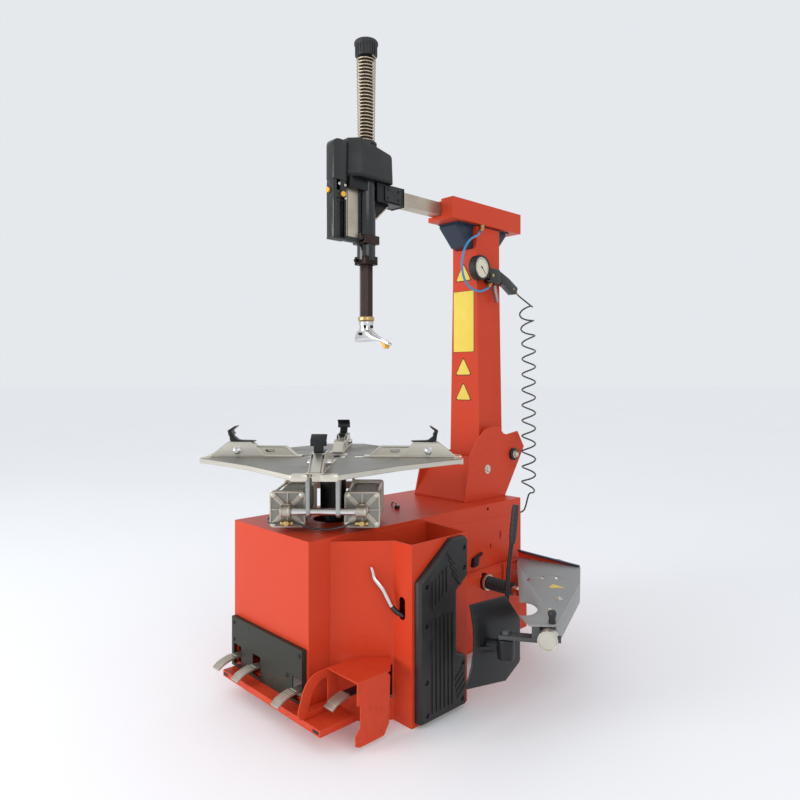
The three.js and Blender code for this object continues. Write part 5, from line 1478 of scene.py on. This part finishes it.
# %% Blade and handle
BX, BTHICK, PIVOT = 0.505, 0.008, (0.560, 0.128)
left_edge = [(0.044, 0.346), (0.0515, 0.315), (0.0575, 0.285), (0.0600, 0.250), (0.0580, 0.215),
             (0.0510, 0.185), (0.0420, 0.165), (0.0325, 0.150)]
shovel = left_edge + [(0.0305, 0.1345), (0.190, 0.1065), (0.252, 0.138), (0.256, 0.146), (0.256, 0.256),
                      (0.252, 0.266), (0.194, 0.334), (0.186, 0.337)]
bm = bmesh.new()
plate(bm, "x", shovel, BX, BX + BTHICK)
bmesh.ops.recalc_face_normals(bm, faces=bm.faces)
piece("blade_plate", bm, black_paint, "blade_carrier", ["blade"], 0.0024, 3, smooth=50)
bm = bmesh.new()
turned(bm, [(0.0086, 0.2000), (0.0205, 0.2000), (0.0220, 0.2015), (0.0220, 0.2505), (0.0205, 0.2520),
            (0.0086, 0.2520)], (PIVOT[0], PIVOT[1], 0), sides=36)
pipe(bm, [Vector((BX + BTHICK - 0.001, 0.112, 0.226)), Vector((0.525, 0.117, 0.226)),
          Vector((0.541, 0.1225, 0.226))], [0.0180, 0.0165, 0.0160], 24)
plate(bm, "z", [(BX + 0.006, 0.070), (0.541, 0.112), (0.541, 0.124), (BX + 0.006, 0.160)], 0.2215, 0.2305)
piece("blade_boss", bm, black_paint, "blade_carrier", (), 0.0010)

STEM_X = BX - 0.008
stem = curve([(STEM_X, 0.210, 0.236), (STEM_X, 0.214, 0.290), (STEM_X, 0.224, 0.400),
              (STEM_X + 0.004, 0.238, 0.500), (STEM_X + 0.008, 0.2435, 0.562)], 6)
bm = bmesh.new()
pipe(bm, stem, 0.0060, 20)
block(bm, STEM_X - 0.0035, STEM_X + 0.0082, 0.203, 0.218, 0.2360, 0.2700)
piece("handle_stem", bm, black_paint, "blade_carrier", ["blade_handle"], 0.0006, 1)
bm = bmesh.new()
handle_line = [Vector((BX - 0.003, 0.2330, 0.470)).lerp(Vector((BX, 0.2450, 0.576)), t)
               for t in np.linspace(0, 1, 29)]
handle_size = [0.0080 + 0.0022 * min(1, i / 5, (28 - i) / 5 + 0.2) - (0.0009 if i % 4 == 0 else 0)
               for i in range(29)]
pipe(bm, handle_line, handle_size, 28)
piece("handle_grip", bm, rubber, "blade_carrier")

# %% [markdown]
# The push rod of the breaker cylinder comes out of the cabinet through a ribbed rubber boot, which a
# bright ring holds, and ends in the arm. Each rib of the boot is one rounded step of the turned profile.

# %% Push rod and boot
RY, RZ = 0.470, 0.250
bm = bmesh.new()
rod(bm, (0.002, RY, RZ), (0.372, RY, RZ), 0.0136, 32, 0.001)
turned(bm, [(0, 0.352), (0.0190, 0.352), (0.0200, 0.353), (0.0200, 0.3685), (0.0190, 0.3700), (0, 0.3700)],
       (0, RY, RZ), (1, 0, 0), 6)
piece("rod_bar", bm, chrome, "push_rod", ["breaker_rod"])
bm = bmesh.new()
profile = [(0.0138, 0.2330), (0.0215, 0.2330)]
for rib in range(9):
    start = 0.2345 + rib * 0.0104
    profile += [(0.0216, start + 0.0010), (0.0219, start + 0.0035), (0.0200, start + 0.0062),
                (0.0178, start + 0.0084)]
profile += [(0.0190, 0.3290), (0.0138, 0.3295)]
turned(bm, profile, (0, RY, RZ), (1, 0, 0), 36)
piece("rod_boot", bm, rubber, "push_rod", smooth=60)
bm = bmesh.new()
turned(bm, [(0.0138, 0.2225), (0.0255, 0.2225), (0.0260, 0.2235), (0.0260, 0.2308), (0.0255, 0.2318),
            (0.0138, 0.2318)], (0, RY, RZ), (1, 0, 0), 40)
piece("boot_ring", bm, zinc, "push_rod")

# %% [markdown]
# The studio is plain: a pale floor, a pale sky that lights everything evenly, one broad lamp from the
# front left and a weaker one from the right, so that each folded sheet shows its own tone.

# %% Floor and lights
def lamp(name, location, target, size, power):
    data = bpy.data.lights.new(name, "AREA")
    data.size, data.energy = size, power
    made = bpy.data.objects.new(name, data)
    made.location = location
    made.rotation_euler = (Vector(target) - Vector(location)).to_track_quat("-Z", "Y").to_euler()
    bpy.context.scene.collection.objects.link(made)


floor_mesh = bpy.data.meshes.new("floor")
FLOOR_HALF, FLOOR_Z = 60, -0.0005
floor_mesh.from_pydata([(-FLOOR_HALF, -FLOOR_HALF, FLOOR_Z), (FLOOR_HALF, -FLOOR_HALF, FLOOR_Z),
                        (FLOOR_HALF, FLOOR_HALF, FLOOR_Z), (-FLOOR_HALF, FLOOR_HALF, FLOOR_Z)],
                       [], [(0, 1, 2, 3)])
floor = bpy.data.objects.new("floor", floor_mesh)
bpy.context.scene.collection.objects.link(floor)
floor_finish = Finish("floor_finish", Emission_Strength=0.06, Emission_Color=(1, 1, 1, 1))
floor_mesh.materials.append(floor_finish.finish(
    floor_finish.mix(floor_finish.noise(0.6), srgb(240, 241, 243), srgb(245, 246, 248)), 0.75))

world = bpy.data.worlds.new("studio")
bpy.context.scene.world = world
world.use_nodes = True
world.node_tree.nodes["Background"].inputs["Color"].default_value = srgb(238, 241, 245)
world.node_tree.nodes["Background"].inputs["Strength"].default_value = 0.92
lamp("key", (-1.4, -4.2, 1.7), (0, 0.1, 0.9), 2.6, 112)
lamp("fill", (3.9, -1.6, 2.2), (0, 0.1, 0.8), 2.4, 30)
print("studio lit")
